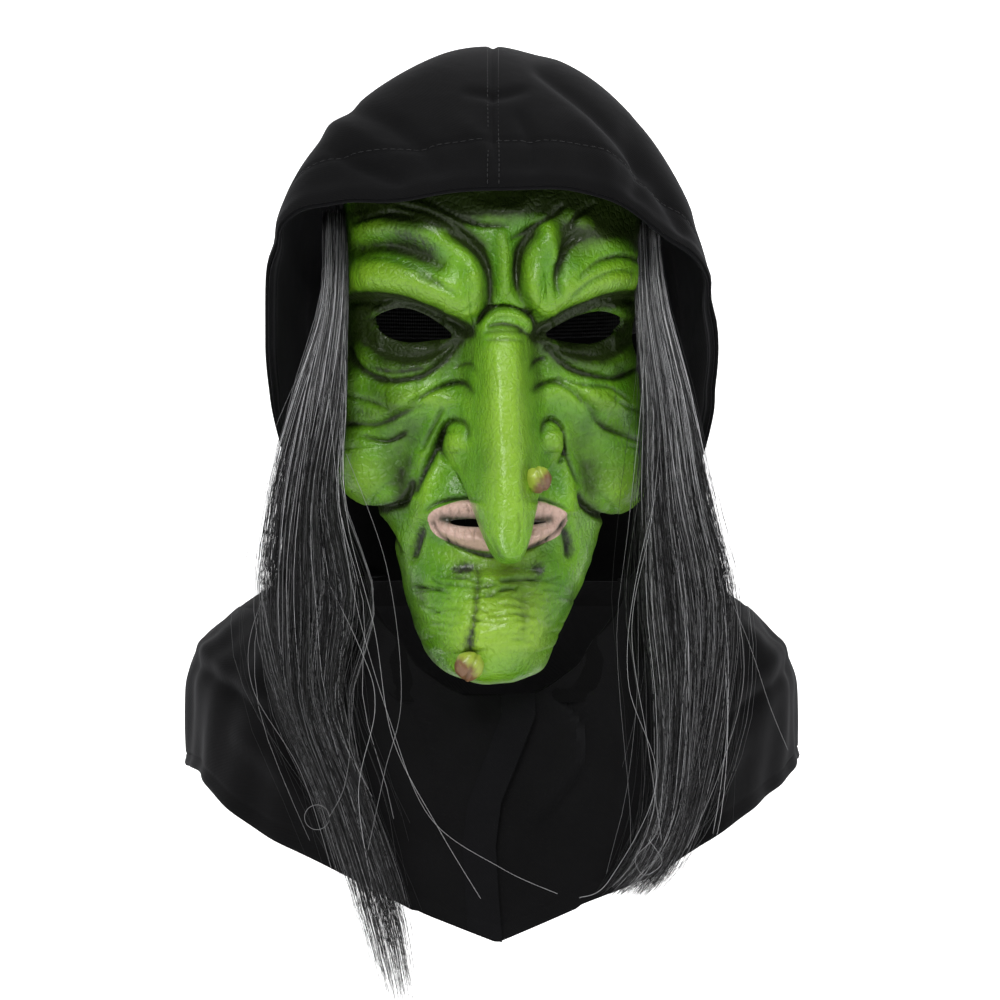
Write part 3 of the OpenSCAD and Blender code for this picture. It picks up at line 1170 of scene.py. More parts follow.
    def _cheeks(self) -> list[Stroke]:
        """Folds beside the nose, cheek lines and jowls."""
        return [
            bulge(5, 2.8, (-66, -20), (-67, -36)),
            bulge(5, 2.6, (-54, -42), (-40, -37), (-27, -34), (-17, -37)),
            bulge(4, 2.4, (-24, -38), (-30, -50), (-36, -62)),
            bulge(5, 2.6, (60, -38), (46, -36), (32, -31), (22, -33)),
            crease(1.3, 2.8, (-38, -37), (-30, -31.5), (-22, -28), (-15, -28), (-10.5, -33), dark=0.4,
                   black=0.35),
            crease(1.0, 1.4, (-9, -24), (-12.5, -19), (-19, -20)),
            crease(1.5, 2.6, (15, -32), (20, -28.5), (27, -27), (34, -32), (41, -39), dark=0.35, black=0.35),
            crease(1.0, 1.4, (14, -23), (17, -18), (22, -16)),
            crease(1.4, 1.8, (-69, -46), (-56, -46.5), (-44, -42), (-34, -38), dark=0.3),
            crease(1.0, 1.2, (-68, -33), (-58, -36), (-48, -40), dark=0.2),
            crease(1.1, 1.4, (-62, -52), (-52, -54), (-43, -50), dark=0.4),
            crease(1.2, 1.6, (42, -40), (48, -46.5), (57, -51), (66, -55), dark=0.3),
            crease(1.0, 1.2, (48, -33), (57, -38), (67, -40), dark=0.2),
            crease(1.4, 2.0, (-25, -40), (-30, -49), (-35, -58), dark=0.5),
            crease(2.0, 2.8, (-24, -50), (-28.5, -58), (-33, -67), (-38, -78), dark=0.5, black=0.6),
            crease(1.5, 2.0, (30, -54), (32.5, -63), (37, -73), dark=0.6, black=0.25),
            crease(1.7, 3.6, (-68, -81), (-59, -85.5), (-50.5, -86), (-43.5, -81), (-40, -73)),
            crease(1.7, 3.6, (70, -85), (59, -89.5), (49, -89.5), (42, -85), (38, -79)),
            crease(0.9, 1.0, (-56, -92), (-50, -98), (-45, -106), dark=0.4),
            crease(0.9, 1.0, (56, -95), (50, -100), (45, -108), dark=0.4),
        ]

    def _mouth(self) -> list[Stroke]:
        """Lips, the corners of the mouth and the muzzle."""
        lip_lines = [crease(0.45, 0.5, (x, -85.6), (x + 0.4, -88.6), dark=0.28) for x in range(-25, 27, 4)]
        lip_lines += [crease(0.45, 0.5, (x, -95.5), (x * 1.02, -101.5), dark=0.28) for x in range(-22, 24, 4)]
        return lip_lines + [
            bulge(5.5, 3, (-26, -66), (-31, -76), (-35, -90)),
            bulge(5, 3, (32, -63), (33.5, -76), (33.5, -88)),
            bulge(2.6, 3.0, (-29, -87.5), (-18, -85.6), (-4, -85.2), (10, -85.4), (22, -86), (30, -88.5)),
            bulge(3.8, 4.6, (-25, -94.5), (-15, -98.6), (0, -100.4), (14, -98.6), (25, -94)),
            crease(1.0, 1.6, (-31, -86), (-26, -82.8), (-18, -81.6), (-6, -82), (8, -82), (20, -82.2),
                   (30, -86), dark=0.62, black=0.3),
            crease(1.1, 1.8, (-29, -92), (-23, -99.5), (-14, -104), (-3, -106.3), (8, -105.2), (19, -101.2),
                   (27, -94.5), (31, -89), dark=0.62, black=0.3),
            crease(2.6, 2.2, (-34, -94), (-37.5, -101), (-39.5, -108), dark=0.5, black=0.85),
            crease(2.6, 2.2, (30, -94), (33, -101), (33.5, -107), dark=0.5, black=0.85),
            crease(3.4, 1.7, (-20, -112), (-8, -111.5), (6, -111.5), (18, -112), dark=0.1),
            Stroke(((-26, -90), (-18, -91.5), (-8, -91.5)), 2.8, dark=0.95, black=0.3),
            Stroke(((15, -92), (24, -91)), 2.2, dark=0.8, black=0.25),
        ]

    def _chin(self) -> list[Stroke]:
        """Fine wrinkles across the chin and the groove down it."""
        rng = np.random.default_rng(SEED)
        out = [
            crease(1.7, 0.8, (-9, -113), (-9.5, -124), (-10.5, -138), (-12, -152), dark=0.35, black=0.4),
            Stroke(((-11, -140), (-12, -146), (-12.5, -152)), 3.6, dark=0.15, black=0.5),
            bulge(4.5, 1.0, (4.5, -122), (4.5, -136), (3, -150)),
            crease(2.4, 0.8, (11, -122), (11.5, -136), (10, -146), dark=0.22),
            Stroke(((-21, -113.5), (-11, -111)), 3.0, dark=0.4, black=0.85),
            Stroke(((17.5, -110.5), (20.5, -115)), 2.8, dark=0.4, black=0.8),
            Stroke(((-36, -118), (-34, -128)), 2.4, dark=0.4, black=0.3),
            Stroke(((36, -120), (33, -131)), 2.2, dark=0.4, black=0.3),
            crease(0.8, 0.9, (-28, -116), (-20, -117), (-12, -115.5), dark=0.2),
            crease(0.8, 0.9, (-24, -120), (-12, -121), (-2, -119.5), dark=0.2),
            crease(0.8, 0.9, (14, -117), (22, -118), (30, -116), dark=0.15),
        ]
        for _ in range(110):
            middle, z = rng.uniform(-32, 30), rng.uniform(-151, -116)
            half = rng.uniform(2.5, 9) * (1 - 0.4 * smooth((-125 - z) / 30))
            deep = rng.uniform(0.3, 1.0) * (1 - 0.5 * smooth((-118 - z) / 30))
            tilt = rng.normal(0, 0.8)
            # Each wrinkle is darkened in proportion to its depth: painted shade.
            out.append(crease(0.7, deep, (middle - half, z - tilt), (middle, z + rng.uniform(-0.6, 1)),
                              (middle + half, z + tilt), dark=0.15 * deep))
        return out

    def _nose(self) -> list[Stroke]:
        """Marks on the nose and the wings beside it."""
        return [
            bulge(5.2, 8.0, (-19.5, -51), (-19.5, -60)),
            bulge(5.2, 8.0, (25.5, -50), (25.5, -60)),
            bulge(2.4, 2.4, (-7, -4), (-5, 2), (0, 5), (6, 5.2), (12, 3), (15, -4), on_nose=True),
            crease(1.1, 2.6, (-9, 0), (-5.5, 5.5), (1, 8), (8, 7.4), (14, 4), (17, -1), on_nose=True),
            Stroke(((12.5, -66), (11.5, -75), (13, -82)), 2.6, dark=0.45, on_nose=True),
            crease(1.2, 1.8, (-4, -2), (2, -1.2), (8, -2.4), (12, -4.5), on_nose=True),
            crease(0.9, 1.0, (-6, -5), (3, -4.5), (14, -5.6), on_nose=True),
            crease(0.9, 0.8, (-5, -9), (4, -8.4), (12, -9.5), dark=0.25, on_nose=True),
            crease(1.3, 3.2, (-13.5, -54), (-14, -47.5), (-19, -45), (-24, -47.5), (-26.4, -56), (-23, -64),
                   dark=0.4),
            crease(1.3, 3.2, (20, -52), (21, -46.5), (25, -44.5), (29.5, -48.5), (30.5, -57), (28, -64),
                   dark=0.4),
            crease(0.9, 0.7, (-3, -98), (0, -104), (3, -108), dark=0.3, on_nose=True),
            crease(0.8, 0.5, (9, -86), (10, -94), (9, -101), dark=0.25, on_nose=True),
        ]

    def _paint(self) -> list[Stroke]:
        """Dark washes and yellow that follow no crease: dark wash paint round the eyes and folds, painted
        shade under the hood and hair and on the outer cheeks, and yellow that is partly paint and partly
        painted highlight.
        """
        return [
            wash_and_shade(9.5, 1.1, (-63, 2), (-52, -12), (-38, -15), (-26, -12), (-17, -6)),
            # The next six washes darken the upper forehead: painted shadow of the hood's rim, with some dark
            # paint in it.
            wash_and_shade(6, 0.8, (-66, 50), (-52, 53), (-36, 51), (-20, 52)),
            wash_and_shade(5, 0.5, (-44, 47), (-30, 44), (-18, 48)),
            wash_and_shade(5, 0.75, (30, 41), (42, 40), (52, 44)),
            wash_and_shade(8, 1.1, (-66, 57), (-34, 59), (0, 60), (34, 60), (62, 54)),
            wash_and_shade(5, 0.55, (-52, 50), (-28, 53), (0, 52), (26, 53)),
            wash_and_shade(10, 1.0, (36, 58), (52, 48), (67, 38)),
            wash_and_shade(10, 0.5, (-60, -30), (-50, -36), (-44, -44)),
            # Painted shadow of the hood's rim, with some dark paint in it.
            wash_and_shade(6, 0.45, (-20, 52), (4, 50), (18, 54)),
            # These two darken the sides of the face: dark paint and painted shade where the hood and hair
            # overhang.
            wash_and_shade(5, 0.7, (-71, -28), (-71, -48), (-70, -62)),
            wash_and_shade(6, 0.6, (71, -30), (71, -50), (69, -64)),
            # These two darken the outer cheeks: painted shade where they slope away from the light.
            wash_and_shade(12, 0.28, (46, -42), (56, -60), (54, -74)),
            wash_and_shade(12, 0.25, (-50, -46), (-52, -62), (-50, -76)),
            wash_and_shade(5.5, 1.1, (-69, 10), (-52, 11), (-34, 6.5), (-19, -2)),
            wash_and_shade(8.5, 1.05, (20, -8), (34, -13.5), (50, -13), (63, -2)),
            wash_and_shade(5.5, 1.1, (20, -3), (34, 5.5), (50, 11.5), (68, 12)),
            # These four darken the temples: dark paint and painted shade under the hood and hair.
            wash_and_shade(6, 0.75, (-71, 8), (-70, -8), (-70, -26)),
            wash_and_shade(6, 0.75, (69, 10), (69, -8), (69, -28)),
            wash_and_shade(5, 0.55, (-70, 52), (-71, 36), (-71, 22)),
            wash_and_shade(6, 0.7, (70, 54), (70, 38), (70, 24)),
            wash_and_shade(5, 0.45, (-40, -62), (-46, -72), (-45, -86)),
            wash_and_shade(5, 0.4, (42, -62), (45, -74), (44, -86)),
            wash_and_shade(4.5, 0.5, (-66, -84), (-54, -92), (-48, -104), (-42, -120), (-34, -142)),
            wash_and_shade(4.5, 0.5, (68, -88), (56, -96), (50, -106), (44, -122), (36, -142)),
            wash_and_shade(3.5, 0.55, (-30, 46), (-16, 42), (-4, 34)),
            wash_and_shade(5, 0.4, (24, 52), (30, 42), (27, 32)),
            wash_and_shade(3, 0.5, (-10, -14), (-14, -24), (-13, -34)),
            wash_and_shade(3, 0.5, (16, -14), (18, -24), (18, -34)),
            Stroke(((-46, 40), (-36, 37), (-28, 33)), 4.2, dark=0.35, black=0.62),
            Stroke(((-64, -40), (-58, -43)), 2.6, dark=0.2, black=0.35),
            Stroke(((54, -20), (62, -26)), 2.6, dark=0.3, black=0.35),
            # The glow strokes below lighten the nose ridge, chin, brows, cheeks and jowls in yellow: partly
            # paint and partly painted highlight on the high places.
            Stroke(((4, -8), (4, -30), (4.5, -60), (6, -98)), 10, glow=0.72, on_nose=True),
            Stroke(((-4, -126), (-6, -152)), 13, glow=0.9),
            Stroke(((14, -122), (14, -150)), 10, glow=0.6),
            Stroke(((-62, 22), (-46, 22), (-30, 16), (-16, 12)), 6, glow=0.1),
            Stroke(((60, 24), (46, 21), (30, 13)), 6, glow=0.1),
            Stroke(((-58, 46), (-40, 45)), 5, glow=0.15),
            Stroke(((14, 20), (16, 34)), 4, glow=0.2),
            Stroke(((36, 46), (50, 40)), 6, glow=0.12),
            Stroke(((-36, -33), (-28, -34)), 6, glow=0.15),
            Stroke(((-58, -62), (-56, -74)), 7, glow=0.3),
            Stroke(((34, -35), (42, -38)), 6, glow=0.15),
            Stroke(((52, -66), (52, -78)), 7, glow=0.35),
            Stroke(((-24, -106), (0, -110), (20, -106)), 6, glow=0.3),
        ]

    def nose_side(self, x: Array, z: Array) -> Array:
        """How much a place belongs to the nose, by its distance from the nose's middle.

        Args:
            x: Places across on the smooth form.
            z: Heights on the smooth form.

        Returns:
            1 on the ridge, fading to 0 beside the nose.
        """
        wide = 13.0 + 3.2 * np.clip((-18 - z) / 34, 0, 1)
        return np.exp(-np.power(np.abs(x) / wide, 3.1))

    def nose_rise(self, z: Array) -> Array:
        """How far the nose stands out, as a share of its reach.

        Args:
            z: Heights on the smooth form.

        Returns:
            The share.
        """
        top = smooth((self.nose_root - z) / 20)
        down = np.clip((8 - z) / (8 - self.beak), 0, 1)
        slope = mix(0.14, 1.0, 0.6 * down + 0.4 * np.sin(math.pi / 2 * down))
        under = smooth((z - self.nose_under) / (self.beak - self.nose_under))
        return np.where(z > self.beak, top * slope, under)

    def nose_drop(self, z: Array) -> Array:
        """How far the nose hangs, as a share of its droop.

        Args:
            z: Heights on the smooth form.

        Returns:
            The share.
        """
        above = np.sin(math.pi / 2 * np.power(np.clip((-10 - z) / (-10 - self.nostrils), 0, 1), 1.6))
        under = smooth((z - self.nose_under) / (self.nostrils - self.nose_under))
        return np.where(z > self.nostrils, above, under)

    def form(self, u: Array, v: Array) -> Array:
        """The smooth form of the face without its nose.

        Args:
            u: Places across, -1 to 1.
            v: Places up, 0 to 1.

        Returns:
            Points, mm.
        """
        front = through(self.profile, v)
        width = self.half_width * through(self.widths, v)
        edge = through(self.edges, v)
        turn = np.pi / 2 * u
        lean = 1.0 - 4.4 * smooth((-100 - front[..., 1]) / 50)
        x = width * np.sin(turn) + lean
        y = -(edge + (front[..., 0] - edge) * np.power(np.clip(np.cos(turn), 0, 1), 0.85))
        tuck = 34 * np.clip(1 - v / 0.2, 0, 1) ** 2 * u * u
        return np.stack([x, y, front[..., 1] + tuck], axis=-1)

    def surface(self) -> tuple[Array, dict[str, Array]]:
        """The sculpted grid and its paint, with painted shade and painted highlight.

        Returns:
            Points of the outer surface, and the number for each point of each paint layer.
        """
        sides = crowded(-1, 1, self.cols, lambda u: 1 + 3.8 * np.exp(-(((np.abs(u) - 0.125) / 0.06) ** 2)))
        heights = np.linspace(0, 1, 4000)
        tall = through(self.profile, heights)[:, 1]
        ups = crowded(0, 1, self.rows, lambda v: 1 + 3.4 * np.exp(
            -(((np.interp(v, heights, tall) + 62) / 9) ** 2)))
        u, v = np.meshgrid(sides, ups)
        base = self.form(u, v)
        normal = -grid_normals(base)
        normal[normal[..., 1] > 0] *= -1
        x, z = base[..., 0].copy(), base[..., 2].copy()
        side = self.nose_side(x - 0.5, z)
        rise, drop = self.nose_rise(z), self.nose_drop(z)
        nose = np.zeros_like(base)
        nose[..., 1] = -self.nose_reach * rise * side
        nose[..., 2] = -self.nose_droop * drop * side
        point = base + nose
        across, height = sight(point[..., 0], point[..., 1]), point[..., 2]
        behind = 1 - side * smooth(rise / 0.5)
        relief = np.zeros_like(x)
        layers = {name: np.zeros_like(x) for name in ("dark", "black", "glow")}
        for stroke in self.strokes():
            share = 1.0 if stroke.on_nose else behind
            if stroke.height:
                relief += stroke.height * stroke.reach(across, height) * share
            for name in layers:
                strength = getattr(stroke, name)
                if strength:
                    wide = 1.25 if stroke.height and name == "dark" else 1.0
                    layers[name] += strength * stroke.reach(across, height, wide) * share
        relief *= self.depth_share
        # Painted shade in the hollows and broad valleys of the relief, and painted highlight on its crests,
        # worked out from the relief itself.
        soft = blurred(relief, 24)
        hollow, valley = soft - relief, blurred(soft, 130) - soft
        layers["dark"] += np.clip(hollow / 5.0, 0, 0.34) + np.clip(valley / 6.0, 0, 0.42)
        crest = np.clip(-hollow / 6.0, 0, 0.2) + np.clip(-valley / 12.0, 0, 0.2)
        layers["glow"] += crest * (1 - np.clip(layers["dark"], 0, 1))
        layers["dark"] = np.clip(layers["dark"], 0, 1.15)
        layers["lip"] = self._lips(across, height) * behind
        lumps = 0.35 * np.sin(x * 0.31 + 1.7 * np.sin(z * 0.11)) * np.sin(z * 0.27 + np.sin(x * 0.13))
        point += normal * (relief + lumps)[..., None]
        return point, layers

    def perch(self, across: float, height: float, lift: float) -> tuple[float, float, float]:
        """Finds where something sits on the front of the face.

        Args:
            across: Its place across, as the viewer sees it.
            height: Its height.
            lift: How far out of the surface its middle is.

        Returns:
            Its middle, mm.
        """
        away = np.hypot(sight(self.skin[..., 0], self.skin[..., 1]) - across, self.skin[..., 2] - height)
        ahead = np.where(away < max(1.2, away.min() + 0.1), self.skin[..., 1], np.inf)
        spot = np.unravel_index(np.argmin(ahead), ahead.shape)
        out = grid_normals(self.skin)[spot]
        place = self.skin[spot] - lift * np.sign(out[1]) * out
        LOG.info("perch %.1f %.1f: %s", across, height, np.round(place, 1))
        return tuple(float(n) for n in place)

    def _lips(self, across: Array, height: Array) -> Array:
        """Where the flesh-coloured lips are.

        Args:
            across: Places across, mm.
            height: Heights, mm.

        Returns:
            1 inside the lips, 0 outside, with a soft edge.
        """
        middle = self.mouth_z + 0.5
        half = 31.0
        share = np.clip(np.abs(across) / half, 0, 1)
        top = middle + 8.8 * np.sqrt(np.clip(1 - share**2.6, 0, 1))
        low = middle - 14.2 * np.sqrt(np.clip(1 - share**1.9, 0, 1))
        inside = np.minimum(top - height, height - low)
        return smooth((inside + 0.9) / 1.8) * (np.abs(across) < half)

    def build(self, latex: bpy.types.Material) -> bpy.types.Object:
        """Makes the face.

        Args:
            latex: The painted latex.

        Returns:
            The object.
        """
        point, layers = self.surface()
        self.skin = point.copy()
        rows, cols = point.shape[:2]
        across, height = sight(point[..., 0], point[..., 1]), point[..., 2]
        quads = grid_faces(rows, cols)
        keep = np.ones(len(quads), bool)
        flat = point.reshape(-1, 3)
        ahead = flat[:, 1] > -self.nose_reach - 60
        for hole in (*self.eyes, self.mouth):
            inside = hole.inside(across, height).ravel() & ahead
            if hole is self.mouth:
                inside &= flat[:, 1] > -118
            gone = inside[quads].all(axis=1)
            keep &= ~gone
            rim = np.unique(quads[inside[quads].any(axis=1) & ~gone])
            for i in rim[inside[rim]]:
                place = np.array([across.ravel()[i], height.ravel()[i]])
                move = hole.nearest(place) - place
                flat[i, 0] += move[0]
                flat[i, 2] += move[1]
        obj = piece("latex_face", flat, quads[keep], latex, 80.0)
        for name, values in layers.items():
            paint(obj, name, values)
        clean = bmesh.new()
        clean.from_mesh(obj.data)
        bmesh.ops.delete(clean, geom=[p for p in clean.verts if not p.link_faces], context="VERTS")
        clean.to_mesh(obj.data)
        clean.free()
        thicken(obj, self.wall)
        obj.data.set_sharp_from_angle(angle=math.radians(80))
        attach(obj, "mask")
        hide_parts("face_shell")
        LOG.info("latex face: %d points", len(obj.data.vertices))
        return obj


@dataclass
class Wart:
    """A latex bead with a groove round it and a brown side.

    Args:
        name: The object's name.
        node: The model's node.
        radius: Its radius.
        brown: Which way its brown side faces.
        place: Its middle, mm.
        groove_tilt: How far the groove leans.
        rings: Rings of points.
    """

    name: str
    node: str
    radius: float
    brown: tuple[float, float, float]
    place: tuple[float, float, float]
    groove_tilt: float = 0.35
    rings: int = 36

    def build(self, latex: bpy.types.Material) -> bpy.types.Object:
        """Makes the bead.

        Args:
            latex: The bead's latex.

        Returns:
            The object.
        """
        round_it = np.linspace(0, 2 * math.pi, 2 * self.rings, endpoint=False)
        polar, azimuth = np.meshgrid(np.linspace(0.001, math.pi - 0.001, self.rings), round_it, indexing="ij")
        way = np.stack([np.sin(polar) * np.cos(azimuth), np.sin(polar) * np.sin(azimuth), np.cos(polar)], -1)
        band = way[..., 0] + self.groove_tilt * way[..., 2]
        groove = np.exp(-(((band - 0.12) / 0.13) ** 2))
        lumps = 0.05 * np.sin(5 * way[..., 0] + 2) * np.sin(6 * way[..., 2]) * np.cos(4 * way[..., 1])
        size = self.radius * (1 + lumps - 0.07 * groove + 0.05 * np.exp(-(((band - 0.36) / 0.14) ** 2)))
        points = np.array(self.place) + way * size[..., None]
        rows, cols = polar.shape
        quads = [[r * cols + c, r * cols + (c + 1) % cols, (r + 1) * cols + (c + 1) % cols,
                  (r + 1) * cols + c] for r in range(rows - 1) for c in range(cols)]
        quads.append(list(range(cols))[::-1])
        quads.append(list(range((rows - 1) * cols, rows * cols)))
        obj = piece(self.name, points, [q[::-1] for q in quads], latex, 180.0)
        toward = np.array(self.brown) / np.linalg.norm(self.brown)
        paint(obj, "brown", smooth(((way @ toward) + 0.25) / 1.0))
        # The groove layer darkens the bead's groove: painted shade.
        paint(obj, "groove", groove * 0.28)
        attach(obj, "mask")
        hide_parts(self.node)
        LOG.info("%s", self.name)
        return obj


# ---- Hood ----


def lay_strokes(grid: Array, strokes: Sequence[Stroke], outward: Array) -> Array:
    """Raises and presses a grid of cloth along strokes on its front.

    Args:
        grid: Points, mm.
        strokes: The strokes.
        outward: Unit normals.

    Returns:
        The moved points.
    """
    across, height = sight(grid[..., 0], grid[..., 1]), grid[..., 2]
    front = smooth((30 - grid[..., 1]) / 60)
    relief = sum(s.height * s.reach(across, height) for s in strokes)
    return grid + outward * (relief * front)[..., None]


@dataclass
class Hood:
    """The knitted hood: two panels joined over the crown, a turned-in facing and its stitching.

    Args:
        rim_w: Half width at the front edge.
        crown_w: Half width over the crown.
        top: Height of the crown.
        brow: Height of the front edge.
        front: How far forward the front edge stands.
        back: How far back the hood reaches.
        mid_z: Height of the hood's widest place.
        neck_z: Height of its lower edge.
        seam_top: Height that the crown falls to at the back seam.
        layer: Thickness of the cloth.
        rows: Points from the brow to the nape.
        cols: Points from the crown to the lower edge.
    """

    rim_w: float = 104.0
    crown_w: float = 92.0
    top: float = 135.0
    brow: float = 61.0
    front: float = 118.0
    back: float = 108.0
    mid_z: float = -10.0
    neck_z: float = -121.5
    seam_top: float = 20.0
    layer: float = 1.2
    rows: int = 150
    cols: int = 130

    def folds(self) -> list[Stroke]:
        """Folds and creases of the cloth.

        Returns:
            The strokes.
        """
        return [
            crease(3.4, 3.4, (20, 121), (40, 104), (60, 82), (76, 60), (86, 42)),
            bulge(5.0, 2.6, (26, 128), (50, 110), (72, 84), (90, 52)),
            crease(3.5, 2.6, (-77, 80), (-66, 73), (-54, 68), (-44, 63)),
            bulge(5.5, 2.4, (-80, 92), (-62, 84), (-44, 74)),
            crease(4.0, 2.0, (-70, 100), (-50, 92), (-34, 80), (-26, 68)),
            bulge(6.0, 2.2, (36, 96), (48, 80), (52, 64)),
            crease(3.6, 2.4, (60, 92), (66, 74), (64, 58)),
            crease(2.6, 1.6, (-14, 108), (0, 106), (12, 109)),
            bulge(5.0, 1.6, (-16, 92), (-6, 80), (-4, 68)),
            crease(3.0, 1.6, (10, 96), (16, 82), (16, 70)),
            crease(4.0, 3.0, (-104, 40), (-95, 10), (-94, -24), (-88, -60)),
            bulge(5.0, 2.6, (-98, -36), (-90, -66), (-76, -96)),
            crease(4.0, 3.0, (103, 20), (95, -8), (93, -36), (86, -70)),
            bulge(5.0, 2.6, (97, -36), (90, -66), (78, -96)),
        ]

    def surface(self, s: Array, t: Array, side: Side, depth: float = 0.0) -> Array:
        """The hood's smooth form.

        Args:
            s: From 0 at the front edge to 1 at the back seam.
            t: From 0 at the crown seam to 1 at the neck.
            side: Which panel.
            depth: How far inward, mm.

        Returns:
            Points, mm.
        """
        ahead = s < 0.5
        r = np.where(ahead, 2 * s, 2 * s - 1)
        rear = np.clip(np.cos(math.pi / 2 * r), 0, 1)
        rise = np.clip(np.sin(math.pi / 2 * r), 0, 1)
        wide = np.where(ahead, mix(self.rim_w, self.crown_w, smooth(r)) - depth,
                        (self.crown_w - depth) * np.power(rear, 0.75))
        high = np.where(ahead, self.brow - depth + (self.top - self.brow) * np.power(rise, 0.8),
                        self.seam_top + (self.top - depth - self.seam_top) * np.power(rear, 0.9))
        rim_power = 0.42 if side is Side.LEFT else 0.72
        power = np.where(ahead, mix(rim_power, 0.97, smooth(r)), 0.97)
        set_back = 46 * smooth((t - 0.2) / 0.6) * (1 - s) ** 2 + 10 * smooth(t / 0.3) * (1 - s) ** 4
        y = np.where(ahead, -self.front * (1 - r), (self.back - depth) * rise)
        q = np.clip(2 * t - 1, 0, 1)
        turn = math.pi * np.minimum(0.5, t)
        gather = np.where(ahead, mix(0.4, 0.065, smooth(2 * r)), 0.065)
        x = wide * np.power(np.clip(np.sin(turn), 0, 1), power) * (1 - gather * q * q)
        y = (y + set_back) * np.where(y > 0, 1 - 0.2 * q * q, 1)
        arch = self.mid_z + (high - self.mid_z) * np.power(np.clip(np.cos(turn), 0, 1), power)
        z = np.where(t <= 0.5, arch, mix(self.mid_z, self.neck_z, q))
        x = side.value * x
        x = x + self.squared(y)
        z = z + self.wave(x, s) * np.where(t <= 0.5, 1.0, 0.0) * smooth((0.5 - t) / 0.12)
        return np.stack([x, y, z], axis=-1)

    @staticmethod
    def squared(y: Array) -> Array:
        """Turns the cloth to face the viewer, where the head inside faces a little aside.

        Args:
            y: Places from front to back.

        Returns:
            The shift across.
        """
        return (-2.2 + SIGHT_SLOPE * (y + 95)) * smooth((108 - y) / 100)

    @staticmethod
    def wave(x: Array, s: Array) -> Array:
        """The waves of the front edge over the brow.

        Args:
            x: Places across.
            s: From 0 at the front edge.

        Returns:
            The rise.
        """
        bumps = sum(h * np.exp(-(((x - at) / w) ** 2))
                    for at, w, h in ((-52, 24, -5.5), (-80, 10, -2.0), (28, 16, 1.5), (76, 15, -6.5)))
        return bumps * smooth(1 - s / 0.3)

    def grid(self, side: Side, depth: float = 0.0, s_end: float = 1.0, rows: int | None = None) -> Array:
        """A panel's grid with its folds.

        Args:
            side: Which panel.
            depth: How far inward, mm.
            s_end: Where the grid ends, from the front edge.
            rows: Rows of points.

        Returns:
            Points, mm.
        """
        share = np.linspace(0.0, 1, self.cols)
        across = np.where(share < 0.5, 0.5 * (2 * share) ** 2.2, share)
        s, t = np.meshgrid(np.linspace(0, s_end, rows or self.rows), across, indexing="ij")
        grid = self.surface(s, t, side, depth)
        outward = self.outward(grid, side)
        grid = lay_strokes(grid, self.folds(), outward)
        ripple = (1.3 * np.sin(9 * s + 5 * t + side.value) * np.sin(11 * t + 2 * s)
                  + 0.7 * np.sin(21 * t + 6 * s + 2 * side.value)) * smooth(s / 0.12) * smooth(t / 0.08)
        lip = 1.3 * np.exp(-((s - 0.006) / 0.012) ** 2) - 0.7 * np.exp(-(((s - 0.072) / 0.006) ** 2))
        beside = (grid[..., 0] - self.squared(grid[..., 1])) / 1.8
        seam = -1.2 * np.exp(-(beside**2)) * (t < 0.4) * smooth((s - 0.02) / 0.05)
        return grid + outward * (ripple * (1 - smooth((t - 0.9) / 0.1)) + lip + seam)[..., None]

    @staticmethod
    def outward(grid: Array, side: Side) -> Array:
        """Normals that point out of the hood.

        Args:
            grid: A panel's points.
            side: Which panel.

        Returns:
            Unit vectors.
        """
        normal = grid_normals(grid)
        return normal if (grid * normal).sum(-1).mean() > 0 else -normal

    def build(self, knit: bpy.types.Material, lining: bpy.types.Material,
              thread: bpy.types.Material) -> None:
        """Makes the hood's panels, facings and stitching.

        Args:
            knit: The cloth.
            lining: The facing.
            thread: The sewing thread.
        """
        seam_lines = []
        for side in Side:
            grid = self.grid(side)
            panel = cloth(f"hood_cloth_{side.word}", grid, knit, side is Side.LEFT, self.layer)
            face_out(panel, grid, self.outward(grid, side))
            inner = self.grid(side, self.layer + 0.3, 0.085, 16)
            facing = cloth(f"hood_facing_cloth_{side.word}", inner, lining, side is Side.LEFT, 0.9)
            face_out(facing, inner, self.outward(inner, side))
            s_line = int(round(0.075 * (self.rows - 1)))
            line = grid[s_line] + 0.12 * self.outward(grid, side)[s_line]
            hem = stitches(f"hood_hem_stitches_{side.word}", [line[2:]], thread)
            seam_lines.append(grid[:, 0] + 0.9 * self.outward(grid, side)[:, 0]
                              + np.array([side.value * 2.6, 0, 0]))
            for obj, node, slot in ((panel, f"hood_{side.word}_panel", "black_knit"),
                                    (facing, f"hood_{side.word}_facing", "black_facing")):
                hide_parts(node)
            for obj in (panel, facing, hem):
                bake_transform(obj)
        seams = stitches("hood_crown_stitches", seam_lines, thread, 2.2, 1.0, 0.2)
        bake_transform(seams)
        LOG.info("hood")


def face_out(obj: bpy.types.Object, grid: Array, outward: Array) -> None:
    """Checks that a sheet was thickened inward, and warns if it wasn't.

    Args:
        obj: The sheet.
        grid: The grid it was made from.
        outward: The grid's outward normals.
    """
    count = grid.shape[0] * grid.shape[1]
    co = np.empty(len(obj.data.vertices) * 3)
    obj.data.vertices.foreach_get("co", co)
    co = co.reshape(-1, 3) / MM
    if len(co) >= 2 * count:
        shift = ((co[count:2 * count] - co[:count]) * outward.reshape(-1, 3)).sum(1).mean()
        if shift > 0:
            LOG.warning("%s is thickened outward", obj.name)


# ---- Cape ----


